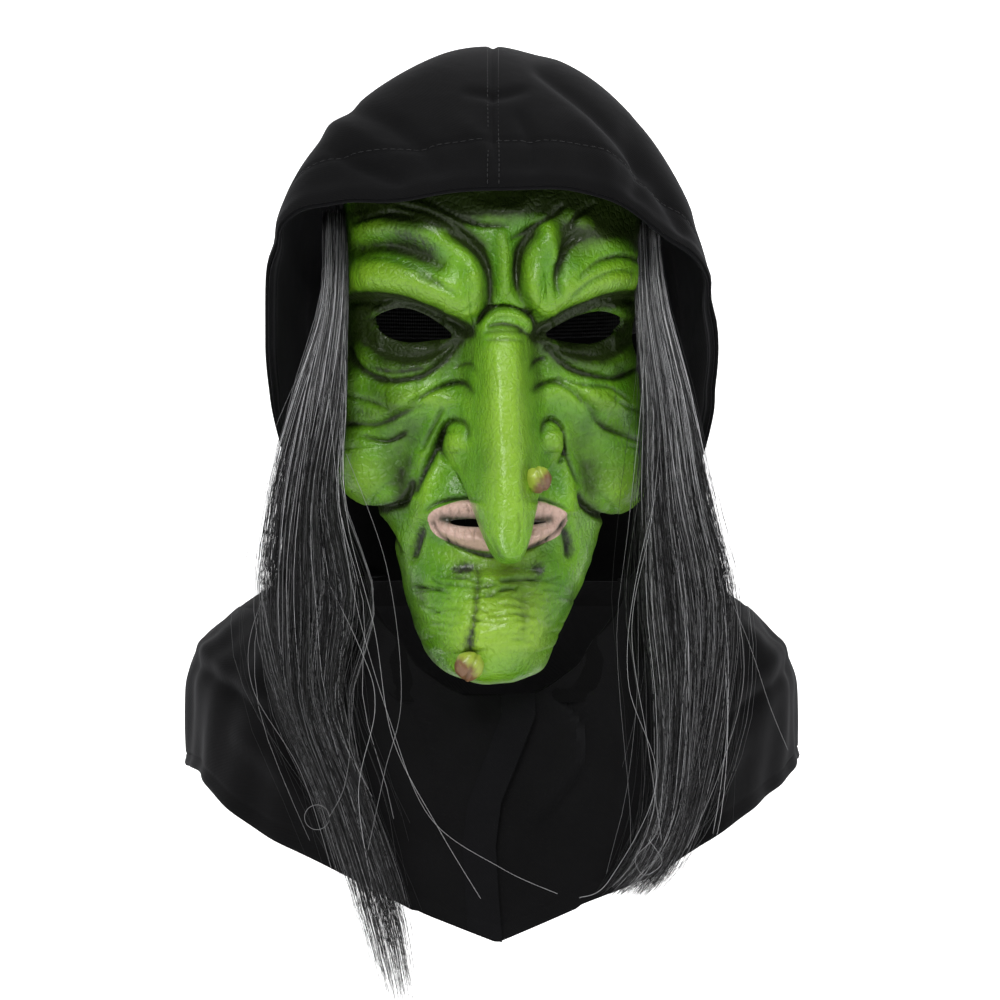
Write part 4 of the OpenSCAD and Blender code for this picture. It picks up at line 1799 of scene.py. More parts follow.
@dataclass
class Cape:
    """The shoulder cape: neck bands, two body panels that run on into the front flaps, bound edges.

    Args:
        half_w: Half width at the shoulders.
        neck_half_w: Half width at the neck.
        neck_front: How far forward the neck's front stands.
        neck_back: How far back the neck reaches.
        neck_z: Height of the neck's upper edge at the back.
        chest_z: Height below which the front leans outward.
        chest_depth: How far forward the chest stands.
        back_depth: How far back the shoulders reach.
        shoulder_drop: Height from the neck to the shoulder.
        hem_front: Height of the hem at the middle of the front.
        hem_side: Height of the hem at the sides.
        hem_back: Height of the hem at the middle of the back.
        fold_deg: Angle of the flaps' fold lines from the middle of the front.
        fold_at: Half width, depth and height of the chest where the fold lines start; not used.
        under_edge_deg: Angle of the lower flap's edge.
        lift: How far the upper flap lies above the lower one.
        layer: Thickness of the cloth.
        neckline: Upper edge of the neck bands: (degrees from the front, height).
        band_foot: Lower edge of the neck bands.
        cloth_top: Upper edge of the cape's cloth.
        edge_line: The upper flap's edge: (height, place across as the viewer sees it).
    """

    half_w: float = 145.0
    neck_half_w: float = 86.0
    neck_front: float = 84.0
    neck_back: float = 86.0
    neck_z: float = -118.0
    chest_z: float = -170.0
    chest_depth: float = 109.0
    back_depth: float = 126.0
    shoulder_drop: float = 54.0
    hem_front: float = -282.0
    hem_side: float = -206.0
    hem_back: float = -262.0
    fold_deg: float = 17.0
    fold_at: tuple[float, float, float] = (147.0, 109.0, -175.0)
    under_edge_deg: float = -7.6
    lift: float = 3.0
    layer: float = 1.1
    neckline: tuple[Point, ...] = ((0, -170.5), (6, -170.5), (9, -167), (15, -157), (19, -146), (33, -124),
                                   (38, -118.8), (180, -118.8))
    band_foot: tuple[Point, ...] = ((0, -174), (18, -174), (30, -152), (45, -134), (180, -134))
    cloth_top: tuple[Point, ...] = ((0, -171), (6, -171), (9, -167.6), (15, -157.6), (19, -146.6), (33, -125),
                                    (45, -133), (180, -133))
    edge_line: tuple[Point, ...] = ((-286, 0), (-279, -0.5), (-258, -2), (-238, -3), (-219, -0.5), (-203, 6),
                                    (-190, 11), (-180, 15), (-172, 15))

    def folds(self) -> list[Stroke]:
        """Folds of the cape's front.

        Returns:
            The strokes.
        """
        return [
            bulge(5, 3.5, (-146, -146), (-126, -160), (-106, -172)),
            crease(4, 2.5, (-140, -160), (-120, -172), (-100, -182)),
            bulge(6, 2.4, (-118, -190), (-90, -214), (-70, -244)),
            crease(5, 2.0, (-100, -190), (-72, -214), (-52, -246)),
            bulge(6, 2.4, (-60, -180), (-44, -210), (-36, -250)),
            crease(4, 2.2, (-40, -176), (-30, -204), (-26, -240)),
            bulge(4, 3.0, (20, -173), (34, -186), (30, -206), (6, -228)),
            crease(3.4, 3.0, (26, -170), (40, -186), (38, -208), (16, -232)),
            bulge(5, 2.4, (48, -176), (54, -204), (46, -240)),
            bulge(5, 3.2, (144, -146), (124, -160), (106, -174)),
            crease(4, 2.4, (138, -162), (118, -176), (98, -188)),
            bulge(6, 2.2, (116, -192), (92, -214), (76, -242)),
            crease(5, 2.0, (100, -196), (80, -216), (66, -244)),
        ]

    def fall(self, z: Array, drop: float) -> Array:
        """How far round the shoulder the cloth is at a height.

        Args:
            z: Heights.
            drop: Height of the shoulder.

        Returns:
            0 at the neck to 1 below the shoulder.
        """
        return np.sin(math.pi / 2 * np.clip((self.neck_z - z) / drop, 0, 1))

    def point(self, angle: Array, z: Array, lift: Array | float = 0.0) -> Array:
        """A point of the cape.

        Args:
            angle: Degrees from the middle of the front, right is positive.
            z: Height.
            lift: How far outward.

        Returns:
            Points, mm.
        """
        shoulder = self.fall(z, self.shoulder_drop) ** 0.62
        low = np.maximum(0, self.chest_z - z)
        wide = self.neck_half_w + (self.half_w - self.neck_half_w) * shoulder
        front = (self.neck_front + 0.2 * low + (self.chest_depth - self.neck_front)
                 * self.fall(z, self.neck_z - self.chest_z) ** 0.8)
        back = self.neck_back + (self.back_depth - self.neck_back) * shoulder + 0.04 * low
        a = np.radians(angle)
        deep = np.where(np.cos(a) > 0, front, back)
        y = -(deep + lift) * np.cos(a)
        x = (wide + lift) * np.sin(a)
        x = x + (-0.6 + SIGHT_SLOPE * (y + 95)) * smooth((126 - y) / 110) * 0.85
        return np.stack([x, y, z + 0 * angle], axis=-1)

    def hem(self, angle: Array) -> Array:
        """Height of the hem.

        Args:
            angle: Degrees from the middle of the front.

        Returns:
            The heights.
        """
        u = np.abs(np.sin(np.radians(angle)))
        front = mix(self.hem_front, self.hem_side, 0.78 * u + 0.22 * u**4)
        back = mix(self.hem_side, self.hem_back, np.cos(np.radians(angle)) ** 2)
        ripple = 1.2 * np.sin(np.radians(angle) * 9) * (u > 0.25)
        return np.where(np.cos(np.radians(angle)) > 0, front, back) + ripple

    def edge_angle(self, z: Array) -> Array:
        """Angle of the upper flap's edge at a height.

        Args:
            z: Heights.

        Returns:
            Degrees.
        """
        across = read_off(z, self.edge_line)
        return np.degrees(np.arcsin(np.clip((across + 1.5) / self.half_w, -1, 1)))

    def panel(self, side: Side) -> Array:
        """The grid of one side of the cape, from the middle of the back to its front edge.

        Args:
            side: Which side; the left one ends in the upper flap, the right one in the lower flap.

        Returns:
            Points, mm: rows go down, columns from the back to the front.
        """
        cols, rows = 150, 70
        share, down = np.meshgrid(np.linspace(0, 1, cols) ** 0.9, np.linspace(0, 1, rows))
        sign = side.value
        end = self.edge_angle(-172.0 - 110 * down) if side is Side.LEFT else self.under_edge_deg
        angle = mix(180.0 * sign, end, share)
        near = np.abs(angle)
        top = read_off(near, self.cloth_top)
        z = mix(top, self.hem(angle), down)
        if side is Side.LEFT:
            end = self.edge_angle(z)
            angle = mix(180.0 * sign, end, share)
            lift = self.lift * smooth((angle + self.fold_deg) / 7) * smooth((down + 0.02) / 0.16)
        else:
            lift = np.zeros_like(angle)
        lift = lift + 0.7 * (1 - smooth(down / 0.1))
        grid = self.point(angle, z, lift)
        outward = outward_normals(grid)
        grid = lay_strokes(grid, self.folds(), outward)
        loose = smooth(down / 0.2)
        soft = (1.6 * np.sin(np.radians(angle) * 7 + 2.1 * down)
                + 1.0 * np.sin(np.radians(angle) * 13 - 3 * down)
                + 0.5 * np.sin(np.radians(angle) * 29 + 5 * down)) * loose
        calm = smooth((near - 24) / 20)
        hem_roll = (0.8 * np.exp(-(((down - 0.985) / 0.02) ** 2))
                    - 0.5 * np.exp(-(((down - 0.93) / 0.008) ** 2)))
        return grid + outward * (soft * calm + hem_roll)[..., None]

    def band(self, side: Side) -> Array:
        """The grid of one neck band.

        Args:
            side: Which side.

        Returns:
            Points, mm.
        """
        share, down = np.meshgrid(np.linspace(0, 1, 170), np.linspace(0, 1, 16))
        angle = mix(0.05, 180.0, share)
        top = read_off(angle, self.neckline)
        foot = read_off(angle, self.band_foot)
        gathers = 0.9 * np.sin(np.radians(angle) * 24 + 2 * down) * smooth(angle / 20) * (1 - down)
        return self.point(angle * side.value, mix(top, foot, down), gathers)

    def build(self, knit: bpy.types.Material, neck: bpy.types.Material, lining: bpy.types.Material,
              thread: bpy.types.Material, tape: bpy.types.Material) -> None:
        """Makes the cape.

        Args:
            knit: The cloth.
            neck: The cloth of the neck bands, a darker copy of the knit: painted shade inside the hood.
            lining: The binding on the edges.
            thread: The sewing thread.
            tape: The closure tape.
        """
        for side in Side:
            left = side is Side.LEFT
            grid = self.panel(side)
            sheet = cloth(f"cape_cloth_{side.word}", grid, knit, not left, self.layer)
            edge = grid[:, -1]
            inner = grid[:, -7]
            out = outward_normals(grid)
            strip_lines = [mix(edge, inner, f) for f in np.linspace(-0.04, 0.85, 8)]
            edge_out = out[:, -8:][:, ::-1]
            raised = np.stack(strip_lines, axis=1) + (0.75 if left else -self.layer - 0.2) * edge_out
            roll = np.sin(np.linspace(0, math.pi, 8))[None, :, None] * 0.35
            raised = raised + roll * edge_out * (1 if left else -1)
            binding = cloth(f"{'upper' if left else 'lower'}_edge_binding", raised, lining, left, 0.8)
            sewing = stitches(f"{'upper' if left else 'lower'}_edge_stitches",
                              [raised[2:-2, 6] + 0.15 * out[2:-2, -6]], thread, 2.6, 1.0, 0.24)
            hem = stitches(f"cape_hem_stitches_{side.word}", [grid[-5] + 0.1 * out[-5]], thread)
            node = "front_flap_over" if left else "front_flap_under"
            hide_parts(f"cape_{side.word}_panel", node)
            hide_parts("over_edge_binding" if left else "under_edge_binding")
            for obj, slot in ((sheet, "black_knit"), (binding, "black_facing"), (sewing, "black_facing"),
                              (hem, "black_facing")):
                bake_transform(obj)
            ring = self.band(side)
            band = cloth(f"neck_band_cloth_{side.word}", ring, neck, left, self.layer)
            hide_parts(f"neck_band_{side.word}")
            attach(band, "mask")
        self._tapes(tape, thread)
        LOG.info("cape")

    def _tapes(self, tape: bpy.types.Material, thread: bpy.types.Material) -> None:
        """Makes the hook and loop tapes that close the flaps.

        Args:
            tape: The tape.
            thread: The sewing thread.
        """
        for node, body, lift in (("closure_hook_tape", "flap_over", self.lift - 1.6),
                                 ("closure_loop_tape", "flap_under", 0.7)):
            share, down = np.meshgrid(np.linspace(-6.2, -0.2, 13), np.linspace(-179, -197, 19))
            grid = self.point(share, down, lift)
            patch = cloth(f"{node}_square", grid, tape, False, 0.6)
            rows = [grid[1, 1:-1], grid[-2, 1:-1], grid[1:-1, 1], grid[1:-1, -2]]
            sewing = stitches(f"{node}_stitches", [r + np.array([0, -0.12, 0]) for r in rows], thread, 1.8,
                              0.8, 0.18)
            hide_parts(node)
            for obj in (patch, sewing):
                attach(obj, body)


# ---- Hair ----

# Each run: (height, place across, half width, forward of the origin)
LEFT_INNER = ((50, -71, 2, 66), (10, -72, 3, 82), (-35, -77, 5, 94), (-81, -84, 7, 98), (-127, -82, 13, 104),
              (-173, -85, 10, 111), (-219, -70, 8, 120), (-265, -56, 8, 129), (-311, -46, 5.5, 132))
LEFT_OUTER = ((50, -76, 2, 66), (10, -77, 2.5, 82), (-35, -87, 5, 94), (-81, -95, 7, 98),
              (-127, -98, 8.5, 104), (-173, -93, 8, 108), (-219, -76, 6, 118), (-265, -61, 6, 126))
RIGHT_INNER = ((50, 69, 2, 66), (10, 69, 3, 82), (-35, 73, 5, 94), (-81, 75, 8, 98), (-127, 79, 11, 104),
               (-173, 81, 9, 112), (-219, 77, 7, 120), (-246, 66, 7, 125), (-262, 50, 6, 127))
RIGHT_OUTER = ((50, 75, 2, 66), (10, 76, 3, 82), (-35, 84, 5, 94), (-81, 90, 8, 98), (-127, 98, 9, 104),
               (-173, 95, 8, 108), (-219, 84, 7, 116), (-246, 74, 6, 121), (-262, 62, 5, 123))


@dataclass
class Clump:
    """Strands of a lock that hang together.

    Args:
        wide: Its place across the lock.
        deep: Its place from front to back.
        end: Where it ends, as a share of the lock's run.
        shade: How light it is beside the rest.
        swing: How far it weaves from side to side.
        phase: Where its weaving starts.
    """

    wide: float
    deep: float
    end: float
    shade: float
    swing: float
    phase: float

    @classmethod
    def any(cls, rng: np.random.Generator) -> Clump:
        """Draws a clump.

        Args:
            rng: Source of its chances.

        Returns:
            The clump.
        """
        return cls(wide=float(np.clip(rng.normal(0, 0.6), -1.3, 1.3)),
                   deep=float(np.clip(rng.normal(0, 0.55), -1, 1)),
                   end=min(1.0, 1.03 - abs(rng.normal(0, 0.12))),
                   shade=float(np.clip(rng.lognormal(-0.2, 0.85), 0.1, 2.6)),
                   swing=rng.normal(0, 0.34), phase=rng.uniform(0, 6))


@dataclass
class Lock:
    """A lock of loose grey hair.

    Args:
        name: The object's name.
        body: The body it rides on.
        run: Its middle line, with its half width at each point.
        strands: How many strands keep to the lock.
        strays: How many wander out of it.
        pale: How light its strands are.
        deep: Half its depth from front to back.
        steps: Points along each strand.
        clumps: How many groups its strands hang in.
        tones: How light strands are, with the chance of each.
    """

    name: str
    body: str
    run: tuple[tuple[float, float, float, float], ...]
    strands: int = 860
    strays: int = 34
    pale: float = 1.0
    deep: float = 4.5
    steps: int = 21
    clumps: int = 60
    tones: tuple[tuple[float, float], ...] = field(
        default=((1.0, 0.14), (0.5, 0.07), (0.2, 0.09), (0.04, 0.22), (0.006, 0.48)))

    def build(self, hair: bpy.types.Material, number: int) -> bpy.types.Object:
        """Makes the lock.

        Args:
            hair: The fibre.
            number: The lock's own seed.

        Returns:
            The object.
        """
        rng = np.random.default_rng(SEED + number)
        bundle = Bundle(self.name, 3)
        levels = [tone for tone, _ in self.tones]
        chances = [chance for _, chance in self.tones]
        clumps = [Clump.any(rng) for _ in range(self.clumps)]
        for i in range(self.strands + self.strays):
            stray = i >= self.strands
            clump = clumps[rng.integers(self.clumps)]
            tone = rng.choice(levels, p=chances) * self.pale * clump.shade
            line, radius = self._strand(rng, stray, clump)
            # Painted highlight: strands are lighter towards the top of the lock, with a little more added
            # near the top, and darker lower down.
            painted_top_light = mix(2.3, 0.48, smooth((10 - line[:, 2]) / 120))
            bundle.add(line, radius, np.minimum(1.0, tone * painted_top_light + 0.05 * smooth((line[:, 2] + 70) / 80)))
        obj = bundle.build(hair)
        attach(obj, self.body)
        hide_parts(f"{self.body}_lock")
        LOG.info("%s: %d strands", self.name, self.strands + self.strays)
        return obj

    def _strand(self, rng: np.random.Generator, stray: bool, clump: Clump) -> tuple[Array, Array]:
        """One strand.

        Args:
            rng: Source of its chances.
            stray: True if it wanders out of the lock.
            clump: The strands it hangs with.

        Returns:
            Its middle line and its radius along it.
        """
        end = min(1.0, clump.end - abs(rng.normal(0, 0.05))) if not stray else rng.uniform(0.7, 1.0)
        t = np.linspace(0, end, self.steps)
        run = through(self.run, t)
        wide, deep = clump.wide + rng.normal(0, 0.16), np.clip(clump.deep + rng.normal(0, 0.2), -1.2, 1.2)
        drift = clump.swing * np.sin(math.pi * t * 1.9 + clump.phase)
        drift = drift + rng.normal(0, 0.13) * np.sin(math.pi * t * rng.uniform(0.8, 2.6) + rng.uniform(0, 6))
        drift = drift + rng.normal(0, 0.07) * np.sin(math.pi * t * rng.uniform(4, 8) + rng.uniform(0, 6))
        fan = np.power(t, 2.5) * rng.normal(0, 0.3)
        place = np.clip(wide + drift + fan, -1.9, 1.9)
        if stray:
            reach = rng.choice([-1, 1]) * rng.uniform(4, 20)
            swing = reach * np.sin(math.pi * np.clip((t - 0.15) / 0.85, 0, 1) ** rng.uniform(1.2, 2.4))
            tail = rng.normal(0, 9) * smooth((t - 0.55) / 0.45) ** 2
        else:
            swing = tail = np.zeros_like(t)
        x = run[:, 1] + run[:, 2] * place + swing + tail
        y = -(run[:, 3] + self.deep * (0.55 + 0.45 * np.sin(math.pi * t**0.7)) * deep)
        y = y - 1.2 * np.sin(5 * t + rng.uniform(0, 6)) * t
        z = run[:, 0] + rng.normal(0, 1.5)
        radius = rng.uniform(0.055, 0.11) * (1 - 0.5 * t**3) * np.ones_like(t)
        return np.stack([x, y, z], axis=1), radius


@dataclass
class Curl:
    """A stray strand that ends in a loop.

    Args:
        path: Points (across, forward, height) that it runs through.
        tone: How light it is.
    """

    path: tuple[tuple[float, float, float], ...]
    tone: float = 0.5

    def line(self) -> Array:
        """Its smooth line.

        Returns:
            Points, mm.
        """
        points = through(self.path, np.linspace(0, 1, 10 * len(self.path)))
        return np.stack([points[:, 0], -points[:, 1], points[:, 2]], axis=1)


class LongStrays:
    """A few long strands that wander over the cape, one of them curled into a loop."""

    LEFT = (
        Curl(((-72, 98, -40), (-70, 106, -90), (-58, 114, -140), (-50, 120, -190), (-30, 128, -230),
              (-11, 133, -262)), 0.7),
        Curl(((-78, 98, -30), (-74, 106, -80), (-66, 114, -130), (-52, 122, -180), (-34, 130, -225),
              (-2, 134, -248), (24, 134, -260)), 0.6),
        Curl(((-84, 100, -90), (-110, 106, -130), (-114, 112, -165), (-92, 122, -205), (-78, 130, -250)),
             0.35),
        Curl(((-88, 100, -100), (-64, 112, -150), (-58, 118, -176), (-66, 126, -214), (-60, 130, -258)), 0.8),
        Curl(((-70, 98, -60), (-52, 108, -112), (-46, 118, -170), (-54, 124, -205), (-62, 130, -240)), 0.45))
    RIGHT = (
        Curl(((76, 98, -40), (70, 106, -90), (60, 114, -140), (66, 122, -190), (72, 128, -236)), 0.6),
        Curl(((86, 98, -60), (104, 106, -110), (112, 112, -160), (100, 120, -205), (84, 126, -240)), 0.4),
        Curl(((90, 100, -90), (112, 108, -140), (124, 112, -176), (132, 114, -196)), 0.35),
        Curl(((78, 98, -60), (62, 110, -120), (58, 118, -165), (70, 124, -210), (48, 130, -254),
              (34, 132, -262)), 0.7),
        Curl(((82, 110, -150), (74, 122, -205), (70, 128, -232), (60, 130, -244), (64, 130, -252),
              (72, 130, -246), (66, 130, -236)), 0.55))
    LOOP_AT = (-85.0, 128.0, -225.0)
    LOOP_R = 5.6
    RADIUS = 0.085

    def build(self, hair: bpy.types.Material) -> None:
        """Makes the strays, each side riding on its inner lock.

        Args:
            hair: The fibre.
        """
        turn = np.linspace(0, 1.9 * math.pi, 40)
        at = self.LOOP_AT
        loop = np.stack([at[0] + self.LOOP_R * np.cos(turn), -(at[1] + 0.02 * np.degrees(turn) / 10),
                         at[2] + self.LOOP_R * np.sin(turn)], axis=1)
        lead = Curl(((-80, 106, -150), (-70, 116, -185), (-72, 124, -210),
                     (at[0] + self.LOOP_R, at[1], at[2]))).line()
        for side, curls in ((Side.LEFT, self.LEFT), (Side.RIGHT, self.RIGHT)):
            bundle = Bundle(f"stray_hairs_{side.word}", 4)
            for curl in curls:
                line = curl.line()
                bundle.add(line, np.full(len(line), self.RADIUS), curl.tone)
            if side is Side.LEFT:
                line = np.concatenate([lead[:-1], loop])
                bundle.add(line, np.full(len(line), self.RADIUS), 0.4)
            obj = bundle.build(hair)
            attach(obj, f"hair_{side.word}_inner")
        LOG.info("long strays")


@dataclass
class Weft:
    """The stitched strip at the temple that the hair hangs from.

    Args:
        side: Which side.
    """

    side: Side

    def build(self, face: Face, tape: bpy.types.Material, thread: bpy.types.Material) -> None:
        """Makes the strip and its two rows of stitches.

        Args:
            face: The face it is glued to.
            tape: Its cloth.
            thread: Its thread.
        """
        u, v = np.meshgrid(self.side.value * np.linspace(0.86, 0.97, 8), np.linspace(0.9, 0.98, 24))
        base = face.form(u, v)
        out = grid_normals(base)
        out = np.where((out[..., :1] * self.side.value) < 0, -out, out)
        grid = base + out * 2.0
        obj = cloth(f"hair_weft_strip_{self.side.word}", grid, tape, self.side is Side.LEFT, 1.4)
        rows = [grid[:, c] + out[:, c] * 0.15 for c in (1, 5)]
        sewing = stitches(f"hair_weft_stitches_{self.side.word}", rows, thread, 1.8, 0.7, 0.2)
        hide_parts(f"hair_weft_{self.side.word}")
        for item in (obj, sewing):
            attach(item, "mask")
        LOG.info("weft %s", self.side.word)


# ---- Strap ----


@dataclass
class Strap:
    """The elastic round the back of the head, its latex tabs and rivets.

    Args:
        half_w: Half width of the loop.
        back: How far back it reaches.
        low: Height of its lower edge.
        wide: Its width.
        thick: Its thickness.
        rivet_y: How far from the origin the rivets sit, back is positive.
        rivet_gap: From one rivet to the other on a tab.
    """

    half_w: float = 73.33
    back: float = 92.0
    low: float = -2.0
    wide: float = 16.0
    thick: float = 1.3
    rivet_y: float = -34.0
    rivet_gap: float = 9.0

    def build(self, elastic: bpy.types.Material, latex: bpy.types.Material,
              steel: bpy.types.Material) -> None:
        """Makes the strap, tabs and rivets.

        Args:
            elastic: The elastic.
            latex: The tabs.
            steel: The rivets.
        """
        a = np.linspace(0, math.pi, 120)
        plan = np.stack([self.half_w * np.cos(a), self.back * np.sin(a)], axis=1)
        start = np.stack([np.full(12, self.half_w), np.linspace(self.rivet_y - 8, -1, 12)], axis=1)
        plan = np.concatenate([start, plan, start[::-1] * [-1, 1]])
        up = np.linspace(0, 1, 41)
        ribs = 0.16 * np.cos(up * math.pi * 2 * 9)
        centre = plan / np.maximum(np.linalg.norm(plan, axis=1, keepdims=True), 1e-6)
        grid = np.zeros((len(up), len(plan), 3))
        grid[..., 0] = plan[None, :, 0] + centre[None, :, 0] * (ribs[:, None] - 0.16)
        grid[..., 1] = plan[None, :, 1] + centre[None, :, 1] * (ribs[:, None] - 0.16)
        grid[..., 2] = self.low + self.wide * up[:, None]
        band = cloth("elastic_band", grid, elastic, True, self.thick - 0.3)
        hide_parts("elastic_strap")
        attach(band, "mask")
        for side in Side:
            self._tab(side, latex)
        self._rivets(steel)
        LOG.info("strap")

    def _tab(self, side: Side, latex: bpy.types.Material) -> None:
        """Makes a tab with rounded ends.

        Args:
            side: Which side.
            latex: Its material.
        """
        low, high = (np.array(c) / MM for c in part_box(f"strap_tab_{side.word}"))
        work = bmesh.new()
        bmesh.ops.create_cube(work, size=1.0)
        for p in work.verts:
            p.co = Vector((mix(low[k], high[k], p.co[k] + 0.5) for k in range(3))) * MM
        along_x = [e for e in work.edges if abs(e.verts[0].co.x - e.verts[1].co.x) > MM]
        bmesh.ops.bevel(work, geom=along_x, offset=5 * MM, segments=8, affect="EDGES", profile=0.5)
        rims = [e for e in work.edges if len(e.link_faces) == 2 and e.calc_face_angle(0) > 1.2]
        bmesh.ops.bevel(work, geom=rims, offset=0.5 * MM, segments=3, affect="EDGES", profile=0.5)
        mesh = bpy.data.meshes.new(f"latex_tab_{side.word}")
        work.to_mesh(mesh)
        work.free()
        mesh.polygons.foreach_set("use_smooth", [True] * len(mesh.polygons))
        mesh.set_sharp_from_angle(angle=math.radians(40))
        mesh.materials.append(latex)
        obj = bpy.data.objects.new(mesh.name, mesh)
        bpy.context.scene.collection.objects.link(obj)
        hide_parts(f"strap_tab_{side.word}")
        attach(obj, "mask")

    def _rivets(self, steel: bpy.types.Material) -> None:
        """Makes the four domed rivets as one piece.

        Args:
            steel: Their metal.
        """
        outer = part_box("strap_tab_right")[1][0] / MM
        inner = self.half_w - self.thick
        profile = [(0.0, inner - 1.0), (2.4, inner - 0.95), (3.5, inner - 0.5), (3.6, inner - 0.1),
                   (1.9, inner - 0.1), (1.9, outer + 0.1), (3.6, outer + 0.1), (3.5, outer + 0.5),
                   (2.4, outer + 0.95), (0.0, outer + 1.05)]
        turns = 28
        points, faces = [], []
        middle_z = self.low + self.wide / 2
        for side in Side:
            for step in (-0.5, 0.5):
                first = len(points)
                for radius, x in profile:
                    for k in range(turns):
                        a = 2 * math.pi * k / turns
                        points.append((side.value * x, self.rivet_y + max(radius, 0.02) * math.cos(a),
                                       middle_z + step * self.rivet_gap + max(radius, 0.02) * math.sin(a)))
                for r in range(len(profile) - 1):
                    for k in range(turns):
                        n = (k + 1) % turns
                        quad = [first + r * turns + k, first + r * turns + n, first + (r + 1) * turns + n,
                                first + (r + 1) * turns + k]
                        faces.append(quad if side is Side.LEFT else quad[::-1])
                faces.append([first + k for k in range(turns)])
                faces.append([first + (len(profile) - 1) * turns + k for k in range(turns)][::-1])
        obj = piece("strap_rivet_set", np.array(points), faces, steel, 40.0)
        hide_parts("strap_rivets")
        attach(obj, "mask")


# ---- Studio ----


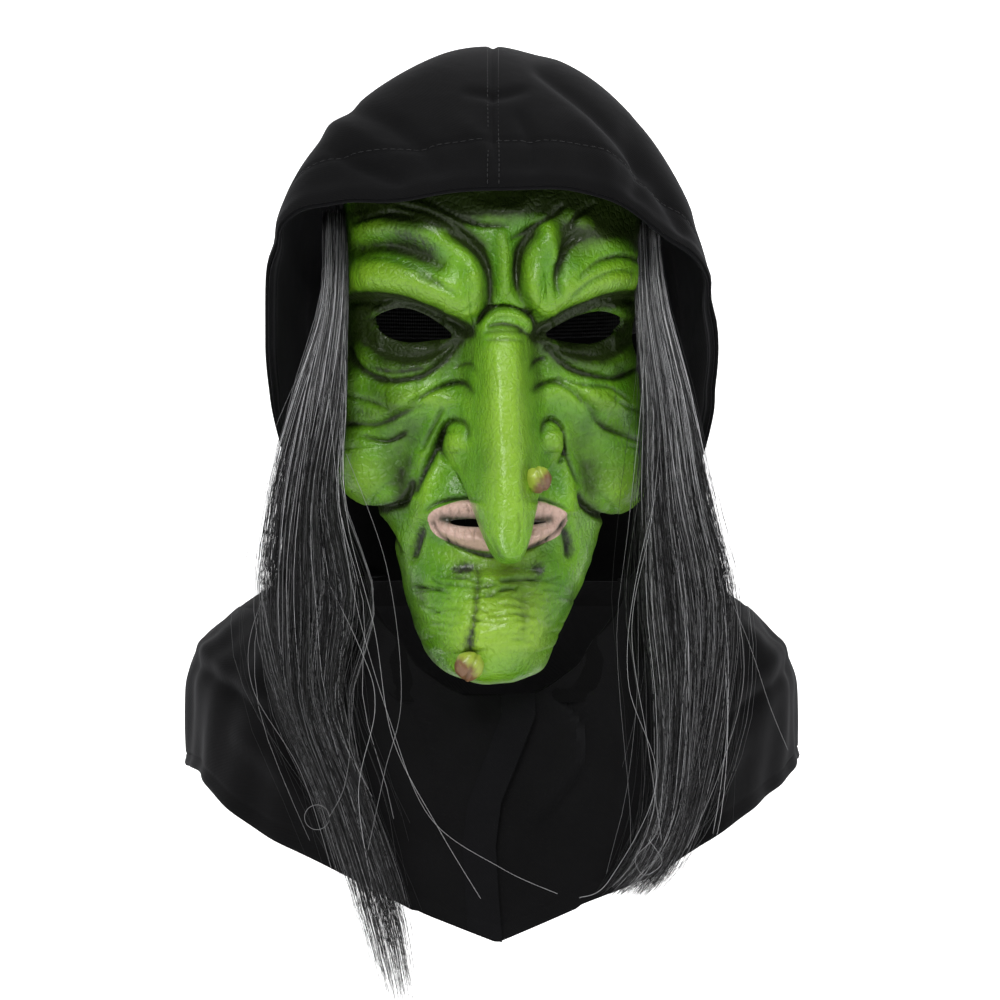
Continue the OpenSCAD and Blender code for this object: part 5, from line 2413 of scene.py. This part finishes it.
@dataclass
class Studio:
    """A bright product studio: pale floor, white backdrop, soft lights, long lens.

    Args:
        distance_m: From the lens to the face.
        lens_mm: Focal length.
        turn_deg: How far the viewer stands to the mask's right.
        target_m: What the lens looks at.
        floor_z_m: Height of the floor.
    """

    distance_m: float = 2.5
    lens_mm: float = 195.6
    turn_deg: float = -5.0
    target_m: tuple[float, float, float] = (0.0011, -0.095, -0.0814)
    floor_z_m: float = -0.62

    def camera(self) -> None:
        """Places the camera."""
        data = bpy.data.cameras.new("camera")
        data.lens = self.lens_mm
        data.sensor_width = 36.0
        data.dof.use_dof = False
        camera = bpy.data.objects.new("camera", data)
        turn = math.radians(self.turn_deg)
        target = Vector(self.target_m)
        camera.location = target + Vector((math.sin(turn), -math.cos(turn), 0)) * self.distance_m
        camera.rotation_euler = (target - camera.location).to_track_quat("-Z", "Y").to_euler()
        bpy.context.scene.collection.objects.link(camera)
        bpy.context.scene.camera = camera

    def panel(self, name: str, place: tuple[float, float, float], size_m: float, watts: float,
              tall_m: float | None = None) -> None:
        """Adds a soft light that points at the mask.

        Args:
            name: The light's name.
            place: Where it stands, m.
            size_m: Its width.
            watts: Its power.
            tall_m: Its height, where that isn't its width.
        """
        data = bpy.data.lights.new(name, "AREA")
        data.shape = "RECTANGLE"
        data.size = size_m
        data.size_y = tall_m or size_m
        data.energy = watts
        light = bpy.data.objects.new(name, data)
        light.location = place
        aim = Vector((0, -0.08, -0.06)) - Vector(place)
        light.rotation_euler = aim.to_track_quat("-Z", "Y").to_euler()
        bpy.context.scene.collection.objects.link(light)

    def plane(self, name: str, corners: Sequence[tuple[float, float, float]], glow: float) -> None:
        """Adds a stage surface, seen from its front only, so that the mask can be looked at from behind it.

        Args:
            name: Its name.
            corners: Its corners, m.
            glow: How brightly it shines by itself.
        """
        g = Graph(name)
        haze = g.spread(g.noise(300, 2), 0.3, 0.7, 0.96, 1.0)
        behind = g.tree.nodes.new("ShaderNodeNewGeometry").outputs["Backfacing"]
        g.set(Alpha=g.math("SUBTRACT", 1.0, behind),
              Base_Color=g.blend(haze, (0.8, 0.8, 0.8), (0.86, 0.86, 0.86)), Roughness=0.9,
              Emission_Color=(1, 1, 1, 1), Emission_Strength=glow, Specular_IOR_Level=0.1)
        obj = piece(name, np.array(corners) / MM, [list(range(len(corners)))], g.material)

    def build(self) -> None:
        """Makes the studio."""
        self.camera()
        z = self.floor_z_m
        self.plane("studio_floor", [(-6, -6, z), (6, -6, z), (6, 6, z), (-6, 6, z)], 0.35)
        self.plane("studio_backdrop", [(-6, 3.2, z), (6, 3.2, z), (6, 3.2, 6), (-6, 3.2, 6)], 1.0)
        self.panel("key", (-0.7, -1.7, 1.5), 0.8, 25)
        self.panel("fill", (1.5, -1.8, 0.5), 1.2, 6)
        self.panel("low", (0.1, -2.2, -0.5), 1.2, 3.4)
        self.panel("top", (0.2, -0.5, 1.9), 1.0, 14.5)
        self.panel("left_strip", (-1.7, 0.1, 0.35), 0.5, 3, 1.6)
        self.panel("right_strip", (1.7, 0.1, 0.35), 0.5, 3, 1.6)
        self.panel("back", (0.2, 2.2, 0.9), 1.4, 6)
        scene = bpy.context.scene
        world = bpy.data.worlds.new("studio")
        world.use_nodes = True
        back = world.node_tree.nodes["Background"]
        back.inputs["Color"].default_value = (0.97, 0.98, 1.0, 1.0)
        back.inputs["Strength"].default_value = 0.16
        scene.world = world
        scene.view_settings.view_transform = "Standard"
        scene.view_settings.look = "None"
        LOG.info("studio")


def main() -> None:
    """Builds every piece in order."""
    logging.basicConfig(level=logging.INFO, format="%(name)s: %(message)s")
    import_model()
    latex = PaintedLatex().make()
    bead = WartLatex().make()
    knit = Knit().make()
    # The neck bands get a darker, less shiny copy of the black knit: painted shade for their place in the
    # shadow inside the hood.
    neck = Knit("neck_knit_painted_shade", (0.0011, 0.0011, 0.0012), (0.0024, 0.0024, 0.0026), 0.9, 0.02).make()
    lining = Knit("black_facing", (0.003, 0.003, 0.0035), (0.006, 0.006, 0.007), 0.8, 0.08).make()
    thread = Thread().make()
    tape = Thread("closure_tape", (0.02, 0.02, 0.022), 0.8, "Z").make()
    webbing = Thread("elastic", (0.006, 0.006, 0.007), 0.9, "X").make()
    strip = Thread("weft_cloth", (0.015, 0.015, 0.016), 0.6, "Z").make()
    hair = Hair().make()
    steel = NickelSteel().make()

    face = Face()
    face.build(latex)
    Wart("nose_bead", "nose_wart", 6.1, (0.75, -0.3, -0.6), face.perch(16.0, -72.5, 3.6)).build(bead)
    Wart("chin_bead", "chin_wart", 6.7, (-0.7, -0.3, -0.65), face.perch(-12.5, -155.5, 4.0), -0.5).build(bead)
    Hood().build(knit, lining, thread)
    Cape().build(knit, neck, lining, thread, tape)
    for side in Side:
        Weft(side).build(face, strip, thread)
    locks = (Lock("hair_strands_left_inner", "hair_left_inner", LEFT_INNER, pale=0.72),
             Lock("hair_strands_left_outer", "hair_left_outer", LEFT_OUTER, pale=0.75),
             Lock("hair_strands_right_inner", "hair_right_inner", RIGHT_INNER, pale=1.15),
             Lock("hair_strands_right_outer", "hair_right_outer", RIGHT_OUTER, pale=1.1))
    for number, lock in enumerate(locks):
        lock.build(hair, number)
    LongStrays().build(hair)
    Strap().build(webbing, latex, steel)
    Studio().build()


if __name__ == "__main__":
    main()
